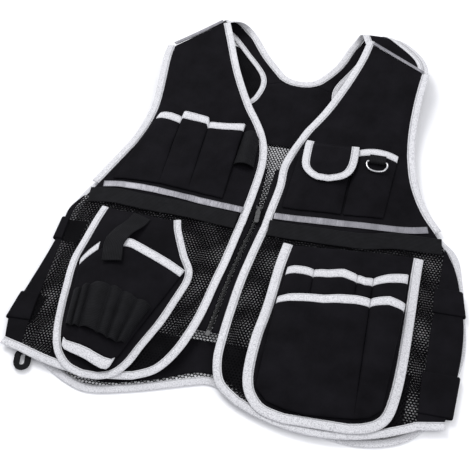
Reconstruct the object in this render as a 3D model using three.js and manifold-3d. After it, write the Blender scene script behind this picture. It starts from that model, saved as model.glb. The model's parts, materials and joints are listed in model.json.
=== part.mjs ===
// Utility work vest, laid on its back with the front up: millimetres, +Z up out of the front,
// +Y towards the neck, origin on the underside of the back panel where the waist line crosses
// the centre. "right" and "left" are the wearer's, so right is at -X.
import * as THREE from "three";
import Module from "manifold-3d";
import { mergeVertices } from "three/addons/utils/BufferGeometryUtils.js";

const wasm = await Module();
wasm.setup();

// Driving sizes of the garment
const waistWidth = 500;
const centreBackLength = 500;
const torsoRise = 13;
const edgeRise = 6.5;
const shoulderRadius = 14;
const lean = 0.06;

// Cloth and trims
const cloth = 1.4;
const seamGap = 0.3;
const bindingWidth = 10.5;
const bindingThickness = 2.6;
const pocketBindingWidth = 12;
const webbingWidth = 25;
const webbingThickness = 1.5;
const tapeWidth = 10;
const tapeThickness = 0.5;
const zipTapeThickness = 0.9;
const zipTeethWidth = 4.6;
const zipTeethThickness = 1.8;

// Pockets: how far each mouth stands off the cloth behind it
const chestPocketRise = 5.5;
const flapPocketRise = 7;
const slimPocketRise = 7;
const chestLoopRise = 8;
const penPocketRise = 6.5;
const smallPenRise = 4.4;
const toolPocketRise = 9;
const holsterRise = 11;
const bitLoopRise = 5.5;

// Metal ring and zip pull
const ringInside = 25;
const ringWire = 2.6;
const ringDepth = 15.5;
const ringTapeThickness = 1.2;
const ringTapeWidth = 22;
const ringClearance = 0.4;
const sliderLength = 12;
const sliderWidth = 9;
const sliderThickness = 3;
const pullLength = 22;
const pullWidth = 6;
const pullThickness = 1.6;
const pullPin = 2;
const lugWall = 1.2;

// Lifts of the stacked layers above the underside of the cloth that they lie on
const onCloth = cloth + seamGap;
const onBacking = 2 * (cloth + seamGap);
const pocketBase = onCloth + 0.7;

const across = (share) => share * waistWidth;
const along = (share) => share * centreBackLength;
const at = ([x, y]) => new THREE.Vector2(across(x), along(y));
const curve = (table, steps) => new THREE.SplineCurve(table.map(at)).getSpacedPoints(steps);
const smooth = (low, high, value) => THREE.MathUtils.smoothstep(value, low, high);

// Folds of the front cloth: centre, direction, half width, half length and height
const folds = [
  { x: -0.26, y: 0.33, turn: 0.5, wide: 0.030, long: 0.12, high: 2.6 },
  { x: 0.21, y: 0.33, turn: -0.6, wide: 0.034, long: 0.12, high: 2.4 },
  { x: 0.14, y: 0.34, turn: 0.1, wide: 0.030, long: 0.12, high: 2.0 },
  { x: -0.10, y: -0.36, turn: 1.3, wide: 0.028, long: 0.14, high: 2.2 },
  { x: 0.03, y: -0.30, turn: 1.5, wide: 0.022, long: 0.16, high: 1.6 },
];

function foldHeight(x, y) {
  let height = 0;
  for (const fold of folds) {
    const dx = x - across(fold.x);
    const dy = y - along(fold.y);
    const u = dx * Math.cos(fold.turn) + dy * Math.sin(fold.turn);
    const v = dy * Math.cos(fold.turn) - dx * Math.sin(fold.turn);
    const spread = (u / along(fold.long)) ** 2 + (v / across(fold.wide)) ** 2;
    height += fold.high * Math.exp(-spread);
  }
  return height;
}

// The shoulder roll: where each back strap leaves the floor and turns over towards the front
const rolls = {
  left: { side: 1, x: 0.240, y: 0.716, slant: 0.12 },
  right: { side: -1, x: 0.224, y: 0.700, slant: 1.05 },
};

function turnLine(x) {
  const roll = x > 0 ? rolls.left : rolls.right;
  return along(roll.y) - roll.slant * Math.max(0, Math.abs(x) - across(roll.x));
}

// Height of the underside of the fronts above the floor
function frontUnder(x, y) {
  const off = Math.abs(x - lean * y);
  const low = smooth(across(0.30), across(0.50), off) * (1 - smooth(along(0.12), along(0.30), y));
  const hem = 1 - smooth(along(-0.56), along(-0.38), y);
  const shoulder = smooth(along(0.28), along(0.56), y);
  const top = 2 * shoulderRadius - cloth;
  const flat = torsoRise - (torsoRise - edgeRise) * Math.max(low, hem);
  const folded = foldHeight(x, y) * (1 - Math.max(low, hem)) * (1 - shoulder);
  return flat + folded + (top - flat) * shoulder;
}

const onFront = (x, y, lift) => new THREE.Vector3(x, y, frontUnder(x, y) + lift);

// The back lies on the floor, and past the turn line it goes round the shoulder roll
function onBack(x, s, lift) {
  const past = s - turnLine(x);
  if (past <= 0) return new THREE.Vector3(x, s, lift);
  const angle = Math.min(past / shoulderRadius, Math.PI);
  const rest = Math.max(0, past - Math.PI * shoulderRadius);
  const radius = shoulderRadius - lift;
  const y = turnLine(x) + radius * Math.sin(angle) - rest;
  return new THREE.Vector3(x, y, shoulderRadius - radius * Math.cos(angle));
}

// A closed sheet over a grid of plan points, between a low and a high lift on a surface
function sheet(grid, surface, low, high) {
  const rows = grid.length;
  const columns = grid[0].length;
  const positions = [];
  const lift = (value, i, j) =>
    typeof value === "function" ? value(j / (columns - 1), i / (rows - 1)) : value;
  for (const level of [low, high]) {
    for (let i = 0; i < rows; i += 1) {
      for (let j = 0; j < columns; j += 1) {
        const point = grid[i][j];
        positions.push(...surface(point.x, point.y, lift(level, i, j)).toArray());
      }
    }
  }
  const index = [];
  const upper = rows * columns;
  const id = (i, j) => i * columns + j;
  const quad = (a, b, c, d) => index.push(a, b, c, a, c, d);
  for (let i = 0; i < rows - 1; i += 1) {
    for (let j = 0; j < columns - 1; j += 1) {
      const corners = [id(i, j), id(i, j + 1), id(i + 1, j + 1), id(i + 1, j)];
      quad(...corners.map((k) => k + upper));
      quad(...corners.reverse());
    }
  }
  const rim = [];
  for (let j = 0; j < columns - 1; j += 1) rim.push(id(0, j));
  for (let i = 0; i < rows - 1; i += 1) rim.push(id(i, columns - 1));
  for (let j = columns - 1; j > 0; j -= 1) rim.push(id(rows - 1, j));
  for (let i = rows - 1; i > 0; i -= 1) rim.push(id(i, 0));
  rim.forEach((a, k) => {
    const b = rim[(k + 1) % rim.length];
    quad(a, b, b + upper, a + upper);
  });
  return facingOut(positions, index);
}

function facingOut(positions, index) {
  let volume = 0;
  const [a, b, c] = [new THREE.Vector3(), new THREE.Vector3(), new THREE.Vector3()];
  for (let k = 0; k < index.length; k += 3) {
    a.fromArray(positions, 3 * index[k]);
    b.fromArray(positions, 3 * index[k + 1]);
    c.fromArray(positions, 3 * index[k + 2]);
    volume += a.dot(b.cross(c));
  }
  const geometry = new THREE.BufferGeometry();
  geometry.setAttribute("position", new THREE.Float32BufferAttribute(positions, 3));
  geometry.setIndex(volume < 0 ? index.reverse() : index);
  return geometry;
}

// Plan grid between two curves with the same number of points; sag drops the last row's middle
function between(first, second, columns, sag = 0) {
  return first.map((start, i) => {
    const end = second[i];
    const row = [];
    for (let j = 0; j <= columns; j += 1) {
      const share = j / columns;
      const point = start.clone().lerp(end, share);
      const drop = sag * 4 * share * (1 - share) * (i / (first.length - 1)) ** 4;
      point.y -= drop;
      row.push(point);
    }
    return row;
  });
}

// Plan grid of a strip: the path and its copy moved sideways; side 1 is to the left of the path
function stripGrid(path, inset, width, side = 1, columns = 1) {
  return path.map((point, i) => {
    const before = path[Math.max(0, i - 1)];
    const after = path[Math.min(path.length - 1, i + 1)];
    const way = after.clone().sub(before).normalize();
    const out = new THREE.Vector2(-way.y, way.x).multiplyScalar(side);
    const row = [];
    for (let j = 0; j <= columns; j += 1) {
      row.push(point.clone().addScaledVector(out, inset + (width * j) / columns));
    }
    return row;
  });
}

const strip = (path, surface, inset, width, side, low, high, columns = 1) =>
  sheet(stripGrid(path, inset, width, side, columns), surface, low, high);

// Solids for cutting and joining
function toSolid(geometry) {
  const bare = geometry.clone();
  bare.deleteAttribute("normal");
  bare.deleteAttribute("uv");
  const merged = mergeVertices(bare, 1e-4);
  return new wasm.Manifold(
    new wasm.Mesh({
      numProp: 3,
      vertProperties: new Float32Array(merged.attributes.position.array),
      triVerts: new Uint32Array(merged.index.array),
    }),
  );
}

function toGeometry(solid) {
  const mesh = solid.getMesh();
  const geometry = new THREE.BufferGeometry();
  geometry.setAttribute("position", new THREE.BufferAttribute(mesh.vertProperties, 3));
  geometry.setIndex(new THREE.BufferAttribute(mesh.triVerts, 1));
  return geometry;
}

const join = (...geometries) =>
  toGeometry(geometries.map(toSolid).reduce((whole, piece) => whole.add(piece)));
const cut = (geometry, ...tools) =>
  toGeometry(tools.map(toSolid).reduce((whole, tool) => whole.subtract(tool), toSolid(geometry)));

// Finishes
const finishes = {
  oxford: { color: 0x1b1a1d, roughness: 0.8, metalness: 0 },
  mesh: { color: 0x141416, roughness: 0.85, metalness: 0 },
  binding: { color: 0xdcdcdf, roughness: 0.9, metalness: 0 },
  webbing: { color: 0x161617, roughness: 0.75, metalness: 0 },
  reflective: { color: 0xa9a8b2, roughness: 0.35, metalness: 0.3 },
  zip: { color: 0x121213, roughness: 0.55, metalness: 0 },
  metal: { color: 0xc9c9cc, roughness: 0.25, metalness: 1 },
  zip_metal: { color: 0x1f1f21, roughness: 0.35, metalness: 0.6 },
};

const vest = new THREE.Group();
function add(name, finish, geometry) {
  const mesh = new THREE.Mesh(geometry, new THREE.MeshStandardMaterial(finishes[finish]));
  mesh.name = name;
  vest.add(mesh);
  return mesh;
}

// Outlines of the fronts as [across, along] shares, from the shoulder seam down.
// frontEdge is the cloth edge under the binding along the neck and the zip.
const fronts = {
  right: {
    side: -1,
    frontEdge: [[-0.228, 0.690], [-0.206, 0.628], [-0.162, 0.502], [-0.110, 0.392],
      [-0.062, 0.312], [-0.038, 0.250], [-0.030, 0.180], [-0.036, 0.080], [-0.046, -0.016]],
    armhole: [[-0.346, 0.567], [-0.348, 0.520], [-0.344, 0.440], [-0.341, 0.356],
      [-0.347, 0.284], [-0.366, 0.210], [-0.402, 0.128], [-0.438, 0.044], [-0.458, 0.002]],
    lowerEdge: [[-0.047, -0.018], [-0.056, -0.088], [-0.066, -0.160], [-0.076, -0.220],
      [-0.086, -0.290], [-0.102, -0.360], [-0.124, -0.420], [-0.158, -0.468], [-0.204, -0.492]],
    sideSeam: [[-0.459, 0.001], [-0.476, -0.050], [-0.478, -0.120], [-0.480, -0.200],
      [-0.482, -0.280], [-0.483, -0.360], [-0.484, -0.420], [-0.482, -0.468]],
    sideEdge: [[-0.463, 0.000], [-0.490, -0.050], [-0.492, -0.120], [-0.504, -0.210],
      [-0.520, -0.300], [-0.536, -0.390], [-0.534, -0.424], [-0.528, -0.456]],
    hemSag: 0.020,
    waist: [[-0.060, -0.018], [-0.150, -0.010], [-0.300, -0.002], [-0.380, 0.006], [-0.450, 0.002]],
    tape: [[-0.054, 0.022], [-0.150, 0.030], [-0.260, 0.042], [-0.370, 0.048], [-0.422, 0.044]],
  },
  left: {
    side: 1,
    frontEdge: [[0.224, 0.682], [0.208, 0.600], [0.178, 0.500], [0.134, 0.394],
      [0.088, 0.304], [0.056, 0.200], [0.054, 0.120], [0.044, 0.036], [0.038, -0.024]],
    armhole: [[0.374, 0.592], [0.366, 0.524], [0.360, 0.450], [0.358, 0.370],
      [0.364, 0.280], [0.382, 0.190], [0.418, 0.108], [0.466, 0.040], [0.486, 0.008]],
    lowerEdge: [[0.037, -0.026], [0.024, -0.100], [0.010, -0.190], [0.002, -0.280],
      [-0.003, -0.370], [-0.002, -0.430], [0.014, -0.478], [0.056, -0.510]],
    sideSeam: [[0.487, 0.006], [0.484, -0.060], [0.478, -0.140], [0.473, -0.220],
      [0.470, -0.300], [0.468, -0.380], [0.464, -0.440], [0.460, -0.492]],
    sideEdge: [[0.491, 0.004], [0.520, -0.060], [0.538, -0.140], [0.550, -0.220],
      [0.550, -0.300], [0.542, -0.380], [0.534, -0.440], [0.524, -0.480]],
    hemSag: 0.050,
    waist: [[0.048, -0.024], [0.140, -0.024], [0.280, -0.020], [0.360, -0.002], [0.480, 0.010]],
    tape: [[0.050, 0.018], [0.140, 0.022], [0.260, 0.030], [0.370, 0.038], [0.440, 0.056]],
  },
};

const edgeSteps = 12;
const lowerSteps = 11;
const bindingLow = -0.5;
const bindingHigh = bindingLow + bindingThickness;
const shifted = (points, dx, dy) => points.map((p) => new THREE.Vector2(p.x + dx, p.y + dy));

for (const [name, front] of Object.entries(fronts)) {
  const frontEdge = curve(front.frontEdge, edgeSteps);
  const armhole = curve(front.armhole, edgeSteps);
  const lowerEdge = curve(front.lowerEdge, lowerSteps);
  const sideSeam = curve(front.sideSeam, lowerSteps);
  const sideEdge = shifted(curve(front.sideEdge, lowerSteps), front.side * seamGap, 0);
  const meshGrid = between(lowerEdge, sideSeam, 6, along(front.hemSag));
  const seam = shifted(sideSeam, front.side * seamGap, 0);
  const sideGrid = between(seam, sideEdge, 2);
  add(`${name}_chest_panel`, "oxford", sheet(between(frontEdge, armhole, 5), onFront, 0, cloth));
  add(`${name}_lower_mesh`, "mesh", sheet(meshGrid, onFront, 0, cloth));
  add(`${name}_side_panel`, "oxford", sheet(sideGrid, onFront, 0, cloth));

  // One binding from the shoulder down the neck and zip edge, round the corner and along the hem
  const hem = [...meshGrid.at(-1).slice(1), ...sideGrid.at(-1).slice(1)];
  const wholeEdge = [...frontEdge, ...lowerEdge.slice(1), ...hem];
  const trim = (path, side) =>
    strip(path, onFront, seamGap, bindingWidth, side, bindingLow, bindingHigh);
  add(`${name}_front_binding`, "binding", trim(wholeEdge, -front.side));
  add(`${name}_armhole_binding`, "binding", trim(armhole.slice(0, -1), front.side));
  add(`${name}_waist_webbing`, "webbing",
    strip(curve(front.waist, 8), onFront, -webbingWidth / 2, webbingWidth, 1,
      pocketBase, pocketBase + webbingThickness));
  add(`${name}_reflective_tape`, "reflective",
    strip(curve(front.tape, 8), onFront, -tapeWidth / 2, tapeWidth, 1,
      pocketBase, pocketBase + tapeThickness));
}

// Back: outline of the see-through panel, as a patch between its four edges
const backOutline = {
  top: [[-0.350, 0.430], [-0.290, 0.560], [-0.230, 0.640], [-0.178, 0.656], [-0.128, 0.612],
    [-0.080, 0.572], [-0.040, 0.548], [0.032, 0.522], [0.104, 0.548], [0.144, 0.576],
    [0.170, 0.640], [0.220, 0.660], [0.280, 0.600], [0.352, 0.440]],
  right: [[-0.350, 0.430], [-0.352, 0.300], [-0.400, 0.120], [-0.452, 0.010], [-0.468, -0.060],
    [-0.472, -0.160], [-0.486, -0.260], [-0.502, -0.360], [-0.500, -0.448]],
  left: [[0.352, 0.440], [0.362, 0.300], [0.404, 0.150], [0.458, 0.040], [0.502, -0.010],
    [0.518, -0.080], [0.534, -0.200], [0.538, -0.290], [0.520, -0.380], [0.504, -0.450]],
  hem: [[-0.500, -0.448], [-0.410, -0.490], [-0.340, -0.526], [-0.286, -0.536],
    [-0.186, -0.512], [-0.076, -0.476], [-0.030, -0.464], [0.012, -0.472], [0.120, -0.524],
    [0.240, -0.544], [0.340, -0.552], [0.430, -0.524], [0.504, -0.450]],
};

// Patch between four edges: the sum of the two rulings less the corner blend
function patch(top, bottom, left, right) {
  const rows = left.length - 1;
  const columns = top.length - 1;
  return left.map((l, i) => top.map((t, j) => {
    const v = i / rows;
    const u = j / columns;
    const ruled = l.clone().multiplyScalar(1 - u).addScaledVector(right[i], u);
    ruled.addScaledVector(t, 1 - v).addScaledVector(bottom[j], v);
    ruled.addScaledVector(left[0], -(1 - u) * (1 - v)).addScaledVector(right[0], -u * (1 - v));
    return ruled.addScaledVector(left[rows], -(1 - u) * v).addScaledVector(right[rows], -u * v);
  }));
}

const backTop = curve(backOutline.top, 20);
const backHem = curve(backOutline.hem, 20);
const backRight = curve(backOutline.right, 9);
const backLeft = curve(backOutline.left, 9);
add("back_mesh", "mesh", sheet(patch(backTop, backHem, backRight, backLeft), onBack, 0, cloth));
const backEdge = [...backRight, ...backHem.slice(1, -1), ...backLeft.slice().reverse()];
add("back_binding", "binding", strip(backEdge, onBack, seamGap, bindingWidth, -1, 0, bindingThickness));

const hemBandTop = curve(
  [[-0.420, -0.370], [-0.200, -0.372], [0.000, -0.372], [0.200, -0.374], [0.440, -0.370]], 10);
const hemBandBottom = curve([[-0.410, -0.482], [-0.286, -0.526], [-0.160, -0.500],
  [-0.030, -0.456], [0.100, -0.508], [0.240, -0.534], [0.430, -0.510]], 10);
add("back_hem_band", "oxford",
  sheet(between(hemBandTop, hemBandBottom, 1), onBack, onCloth, onBacking - seamGap));

// Yoke: a wide lower part with two narrow straps that go over the shoulder rolls.
// Each strap row is its armhole end and its neck end, in shares along the cloth.
const yokeTop = [[-0.300, 0.320], [-0.216, 0.360], [-0.140, 0.388], [-0.084, 0.428],
  [-0.068, 0.472], [-0.062, 0.512], [-0.020, 0.528], [0.032, 0.516], [0.084, 0.528],
  [0.126, 0.512], [0.132, 0.472], [0.148, 0.428], [0.204, 0.388], [0.270, 0.360], [0.332, 0.320]];
const yokeFoot = 0.282;
const straps = {
  right: [
    { arm: [-0.062, 0.512], neck: [-0.020, 0.528] },
    { arm: [-0.070, 0.548], neck: [-0.044, 0.557] },
    { arm: [-0.094, 0.584], neck: [-0.074, 0.592] },
    { arm: [-0.128, 0.624], neck: [-0.107, 0.635] },
    { arm: [-0.162, 0.668], neck: [-0.136, 0.688] },
    { arm: [-0.186, 0.696], neck: [-0.160, 0.716] },
    { arm: [-0.206, 0.716], neck: [-0.182, 0.738] },
    { arm: [-0.232, 0.728], neck: [-0.200, 0.756] },
    { arm: [-0.272, 0.712], neck: [-0.214, 0.764] },
    { arm: [-0.310, 0.686], neck: [-0.221, 0.770] },
    { arm: [-0.346, 0.654], neck: [-0.227, 0.775] },
  ],
  left: [
    { arm: [0.126, 0.512], neck: [0.084, 0.528] },
    { arm: [0.134, 0.548], neck: [0.108, 0.558] },
    { arm: [0.154, 0.588], neck: [0.134, 0.595] },
    { arm: [0.178, 0.636], neck: [0.157, 0.642] },
    { arm: [0.198, 0.684], neck: [0.170, 0.698] },
    { arm: [0.214, 0.716], neck: [0.186, 0.730] },
    { arm: [0.232, 0.744], neck: [0.198, 0.758] },
    { arm: [0.262, 0.774], neck: [0.206, 0.782] },
    { arm: [0.306, 0.802], neck: [0.211, 0.800] },
    { arm: [0.350, 0.830], neck: [0.216, 0.812] },
    { arm: [0.372, 0.862], neck: [0.219, 0.820] },
    { arm: [0.375, 0.892], neck: [0.221, 0.827] },
  ],
};
const yokeLow = onCloth;
const yokeHigh = onBacking - seamGap;
const yokeEdge = yokeTop.map(at);
const yokeGrid = between(yokeEdge, yokeEdge.map((p) => new THREE.Vector2(p.x, along(yokeFoot))), 1);
const strapGrid = (rows) => between(rows.map((r) => at(r.arm)), rows.map((r) => at(r.neck)), 2);
const yokePieces = [sheet(yokeGrid, onBack, yokeLow, yokeHigh)];
for (const rows of Object.values(straps)) {
  const root = {
    arm: [rows[0].arm[0], rows[0].arm[1] - 0.012],
    neck: [rows[0].neck[0], rows[0].neck[1] - 0.012],
  };
  yokePieces.push(sheet(strapGrid([root, ...rows]), onBack, yokeLow, yokeHigh));
}
add("back_yoke", "oxford", join(...yokePieces));

const yokeBindingWidth = 8;
const middle = (yokeTop.length - 1) / 2;
const armEdges = {
  right: [...straps.right.map((r) => r.arm).reverse(), ...yokeTop.slice(0, 5).reverse()],
  left: [...straps.left.map((r) => r.arm).reverse(), ...yokeTop.slice(-5)],
};
for (const [name, table] of Object.entries(armEdges)) {
  add(`${name}_yoke_binding`, "binding", strip(table.map(at), onBack, seamGap, yokeBindingWidth,
    name === "right" ? -1 : 1, yokeLow, yokeHigh + seamGap));
}
const neckTable = [...straps.right.map((r) => r.neck).reverse(), yokeTop[middle],
  ...straps.left.map((r) => r.neck)];
add("neck_binding", "binding", strip(neckTable.map(at), onBack, seamGap, bindingWidth, 1,
  yokeLow, yokeHigh + seamGap));

// Shoulder seam piping, from the neck side to the armhole side
const pipingWidth = 5;
const piping = {
  left: [[0.232, 0.682], [0.300, 0.640], [0.368, 0.598]],
  right: [[-0.236, 0.690], [-0.290, 0.632], [-0.342, 0.580]],
};
for (const [name, table] of Object.entries(piping)) {
  add(`${name}_shoulder_piping`, "reflective", strip(curve(table, 4), onFront, -pipingWidth / 2,
    pipingWidth, 1, onCloth, onCloth + tapeThickness));
}

// Zip: the tapes hang under the bindings, with the closed teeth between them
const zipTapes = {
  right: {
    outer: [[-0.018, 0.180], [-0.021, 0.080], [-0.029, 0.010], [-0.041, -0.090],
      [-0.060, -0.208], [-0.082, -0.356]],
    inner: [[-0.002, 0.180], [-0.003, 0.060], [-0.011, -0.024], [-0.023, -0.090],
      [-0.040, -0.208], [-0.057, -0.356]],
  },
  left: {
    outer: [[0.039, 0.180], [0.030, 0.080], [0.024, -0.010], [0.012, -0.090],
      [-0.007, -0.208], [-0.018, -0.356]],
    inner: [[0.021, 0.180], [0.011, 0.060], [0.001, -0.024], [-0.010, -0.090],
      [-0.028, -0.208], [-0.043, -0.356]],
  },
};
const zipCentre = [[0.004, 0.040], [-0.005, -0.024], [-0.0165, -0.090], [-0.034, -0.208],
  [-0.050, -0.350]];
const zipTop = -0.9;
for (const [name, table] of Object.entries(zipTapes)) {
  const grid = between(curve(table.outer, 10), curve(table.inner, 10), 1);
  add(`${name}_zip_tape`, "zip", sheet(grid, onFront, zipTop - zipTapeThickness, zipTop));
}
add("zip_teeth", "zip", strip(curve(zipCentre, 10), onFront, -zipTeethWidth / 2, zipTeethWidth, 1,
  zipTop - zipTeethThickness / 2, zipTop + zipTeethThickness / 2));

// A pocket stands off the cloth behind it between its sewn seams. The two curves are its mouth and
// its foot, seams the shares across where it is sewn down, rises the heights between those seams,
// open the share of that height left at the foot, and t, d the shares across and down.
function pocket({ mouth, foot, seams, rises, base, power = 0.6, open = 0 }) {
  const top = mouth.map(at);
  const bottom = foot.map(at);
  const last = top.length - 1;
  const columns = Math.max(last, 6);
  const plan = (t, d) => {
    const i = Math.min(Math.floor(t * last), last - 1);
    const upper = top[i].clone().lerp(top[i + 1], t * last - i);
    const lower = bottom[i].clone().lerp(bottom[i + 1], t * last - i);
    return upper.lerp(lower, d);
  };
  const lift = (t, d) => {
    const k = Math.max(1, seams.findIndex((seam) => t <= seam + 1e-9));
    const local = (t - seams[k - 1]) / (seams[k] - seams[k - 1]);
    const bulge = Math.max(0, Math.sin(Math.PI * THREE.MathUtils.clamp(local, 0, 1))) ** power;
    const down = THREE.MathUtils.clamp(d, 0, 1);
    const fall = open + (1 - open) * Math.cos(0.5 * Math.PI * down ** 1.5);
    return base + rises[k - 1] * bulge * fall;
  };
  return { plan, lift, columns };
}

// Closed sheet over part of a pocket: shares across and down, raised by extra over its inside
function pocketSheet(shape, [t0, t1], [d0, d1], low, high, down) {
  const across1 = Math.max(2, Math.round(shape.columns * (t1 - t0)));
  const grid = [];
  const shares = [];
  for (let i = 0; i <= across1; i += 1) {
    const t = t0 + ((t1 - t0) * i) / across1;
    const row = [];
    for (let j = 0; j <= down; j += 1) {
      const d = d0 + ((d1 - d0) * j) / down;
      row.push(shape.plan(t, d));
    }
    grid.push(row);
    shares.push(t);
  }
  const raised = (level) => (dShare, tShare) =>
    shape.lift(t0 + (t1 - t0) * tShare, d0 + (d1 - d0) * dShare) + level;
  return sheet(grid, onFront, raised(low), raised(high));
}

// Mouth binding of a pocket: a band of the given width above its mouth, length being mouth to foot
function mouthBinding(shape, span, width, length) {
  return pocketSheet(shape, span, [-width / length, -seamGap / length],
    0, bindingThickness, 1);
}

// Right chest: three tool pockets side by side and a loop band next to them
const rightChest = pocket({
  mouth: [[-0.337, 0.284], [-0.320, 0.287], [-0.300, 0.286], [-0.284, 0.283], [-0.267, 0.280],
    [-0.263, 0.296], [-0.228, 0.293], [-0.193, 0.290], [-0.188, 0.278], [-0.166, 0.276],
    [-0.140, 0.278], [-0.114, 0.282], [-0.090, 0.288]],
  foot: [[-0.402, 0.066], [-0.372, 0.068], [-0.340, 0.068], [-0.306, 0.067], [-0.276, 0.066],
    [-0.270, 0.066], [-0.234, 0.063], [-0.200, 0.060], [-0.195, 0.059], [-0.172, 0.056],
    [-0.148, 0.053], [-0.124, 0.051], [-0.100, 0.048]],
  seams: [0, 1 / 3, 2 / 3, 1],
  rises: [chestPocketRise, chestPocketRise, chestPocketRise],
  base: pocketBase,
  power: 0.4,
});
const chestDepth = along(0.22);
add("right_chest_pockets", "oxford", pocketSheet(rightChest, [0, 1], [0, 1], 0, cloth, 5));
add("right_chest_pocket_binding", "binding",
  mouthBinding(rightChest, [0, 1], pocketBindingWidth, chestDepth));

const chestLoop = pocket({
  mouth: [[-0.086, 0.286], [-0.062, 0.286], [-0.042, 0.272]],
  foot: [[-0.094, 0.166], [-0.066, 0.166], [-0.038, 0.166]],
  seams: [0, 1],
  rises: [chestLoopRise],
  base: pocketBase,
  open: 1,
});
add("right_chest_loop", "webbing", pocketSheet(chestLoop, [0, 1], [0, 1], 0, cloth, 3));

// Left chest: a pocket closed by a rounded flap, and a slim pocket that carries the ring
const flapPocket = pocket({
  mouth: [[0.076, 0.256], [0.110, 0.258], [0.150, 0.258], [0.190, 0.256], [0.220, 0.254]],
  foot: [[0.060, 0.050], [0.100, 0.050], [0.140, 0.052], [0.180, 0.054], [0.212, 0.056]],
  seams: [0, 1],
  rises: [flapPocketRise],
  base: pocketBase,
  power: 0.6,
});
add("left_flap_pocket", "oxford", pocketSheet(flapPocket, [0, 1], [0, 1], 0, cloth, 5));

const slimPocket = pocket({
  mouth: [[0.226, 0.254], [0.250, 0.256], [0.280, 0.258], [0.310, 0.258], [0.338, 0.256]],
  foot: [[0.219, 0.056], [0.242, 0.058], [0.270, 0.060], [0.296, 0.062], [0.322, 0.064]],
  seams: [0, 1],
  rises: [slimPocketRise],
  base: pocketBase,
  power: 0.6,
});
const slimPocketDepth = along(0.2);
add("left_slim_pocket", "oxford", pocketSheet(slimPocket, [0, 1], [0, 1], 0, cloth, 5));
add("left_slim_pocket_binding", "binding",
  mouthBinding(slimPocket, [0, 1], pocketBindingWidth, slimPocketDepth));

// Flap: half widths of its rounded end, from the hinge down, over the pocket below it
const flap = {
  axis: [[0.160, 0.292], [0.160, 0.230], [0.158, 0.196], [0.156, 0.178], [0.150, 0.166]],
  half: [0.051, 0.052, 0.048, 0.036, 0.014],
};
const flapLift = flapPocketRise + pocketBase + cloth + 2 * seamGap;
const flapRise = (y) => pocketBase + (flapLift - pocketBase) * (1 - smooth(along(0.262), along(0.292), y));
const onFlap = (x, y, lift) => onFront(x, y, flapRise(y) + lift);
const flapEnds = (sign) => flap.axis.map(([x, y], i) => at([x + sign * flap.half[i], y]));
const flapEnd = (sign) => new THREE.SplineCurve(flapEnds(sign)).getSpacedPoints(9);
const flapGrid = between(flapEnd(-1), flapEnd(1), 2);
add("left_flap", "oxford", sheet(flapGrid, onFlap, 0, cloth));
const flapPath = [...flapEnd(-1), ...flapEnd(1).reverse()];
add("left_flap_binding", "binding", strip(flapPath, onFlap, seamGap, bindingWidth, -1,
  0, bindingThickness));

// Drill holster on the right: a bound backing, an open-ended front, a strap and a band of bit loops
const holster = {
  left: [[-0.384, -0.038], [-0.394, -0.080], [-0.406, -0.150], [-0.416, -0.216], [-0.412, -0.290],
    [-0.406, -0.360], [-0.396, -0.424], [-0.380, -0.470], [-0.352, -0.500], [-0.318, -0.512]],
  right: [[-0.208, -0.050], [-0.198, -0.086], [-0.168, -0.156], [-0.142, -0.212], [-0.160, -0.290],
    [-0.180, -0.358], [-0.206, -0.418], [-0.228, -0.470], [-0.252, -0.500], [-0.282, -0.512]],
};
const holsterLeft = curve(holster.left, 12);
const holsterRight = curve(holster.right, 12);
add("holster_backing", "oxford",
  sheet(between(holsterLeft, holsterRight, 3), onFront, pocketBase, pocketBase + cloth));
const holsterPath = [...holsterLeft, ...holsterRight.slice().reverse()];
add("holster_outline_binding", "binding", strip(holsterPath, onFront, seamGap, bindingWidth - 1, -1,
  pocketBase, pocketBase + bindingThickness));

const frontBase = pocketBase + cloth + 2 * seamGap;
const holsterFront = pocket({
  mouth: [[-0.408, -0.232], [-0.390, -0.212], [-0.368, -0.190], [-0.344, -0.176], [-0.320, -0.172],
    [-0.290, -0.172], [-0.250, -0.186], [-0.200, -0.204], [-0.152, -0.222]],
  foot: [[-0.390, -0.438], [-0.374, -0.452], [-0.356, -0.456], [-0.336, -0.460], [-0.314, -0.466],
    [-0.292, -0.474], [-0.272, -0.480], [-0.256, -0.480], [-0.244, -0.468]],
  seams: [0, 1],
  rises: [holsterRise],
  base: frontBase,
  open: 0.6,
});
const holsterLength = along(0.27);
add("holster_front", "oxford", pocketSheet(holsterFront, [0, 1], [0, 1], 0, cloth, 6));
const strapGap = [2 / 8, 4 / 8];
add("holster_mouth_binding_outer", "binding",
  mouthBinding(holsterFront, [0, strapGap[0]], bindingWidth, holsterLength));
add("holster_mouth_binding_inner", "binding",
  mouthBinding(holsterFront, [strapGap[1], 1], bindingWidth, holsterLength));
add("holster_foot_binding", "binding",
  pocketSheet(holsterFront, [1 / 8, 7 / 8],
    [1 + seamGap / holsterLength, 1 + bindingWidth / holsterLength], 0, bindingThickness, 1));

// Bit loops: a band over the holster front that stands off between its rows of stitches
const bitBand = { from: 0.42, to: 0.86, loops: [0.03, 0.17, 0.29, 0.56, 0.70, 0.84, 0.97] };
const bitLift = (t, d) => {
  const k = Math.max(1, bitBand.loops.findIndex((stitch) => t <= stitch + 1e-9));
  const local = (t - bitBand.loops[k - 1]) / (bitBand.loops[k] - bitBand.loops[k - 1]);
  const bulge = Math.sin(Math.PI * THREE.MathUtils.clamp(local, 0, 1)) ** 0.7;
  return holsterFront.lift(t, d) + cloth + 2 * seamGap + bitLoopRise * bulge;
};
const bitShares = bitBand.loops.flatMap((stitch, i, all) =>
  i ? [(stitch + 2 * all[i - 1]) / 3, (2 * stitch + all[i - 1]) / 3, stitch] : [stitch]);
const bitDown = [0, 0.5, 1].map((v) => bitBand.from + v * (bitBand.to - bitBand.from));
const bitGrid = bitShares.map((t) => bitDown.map((d) => holsterFront.plan(t, d)));
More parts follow.
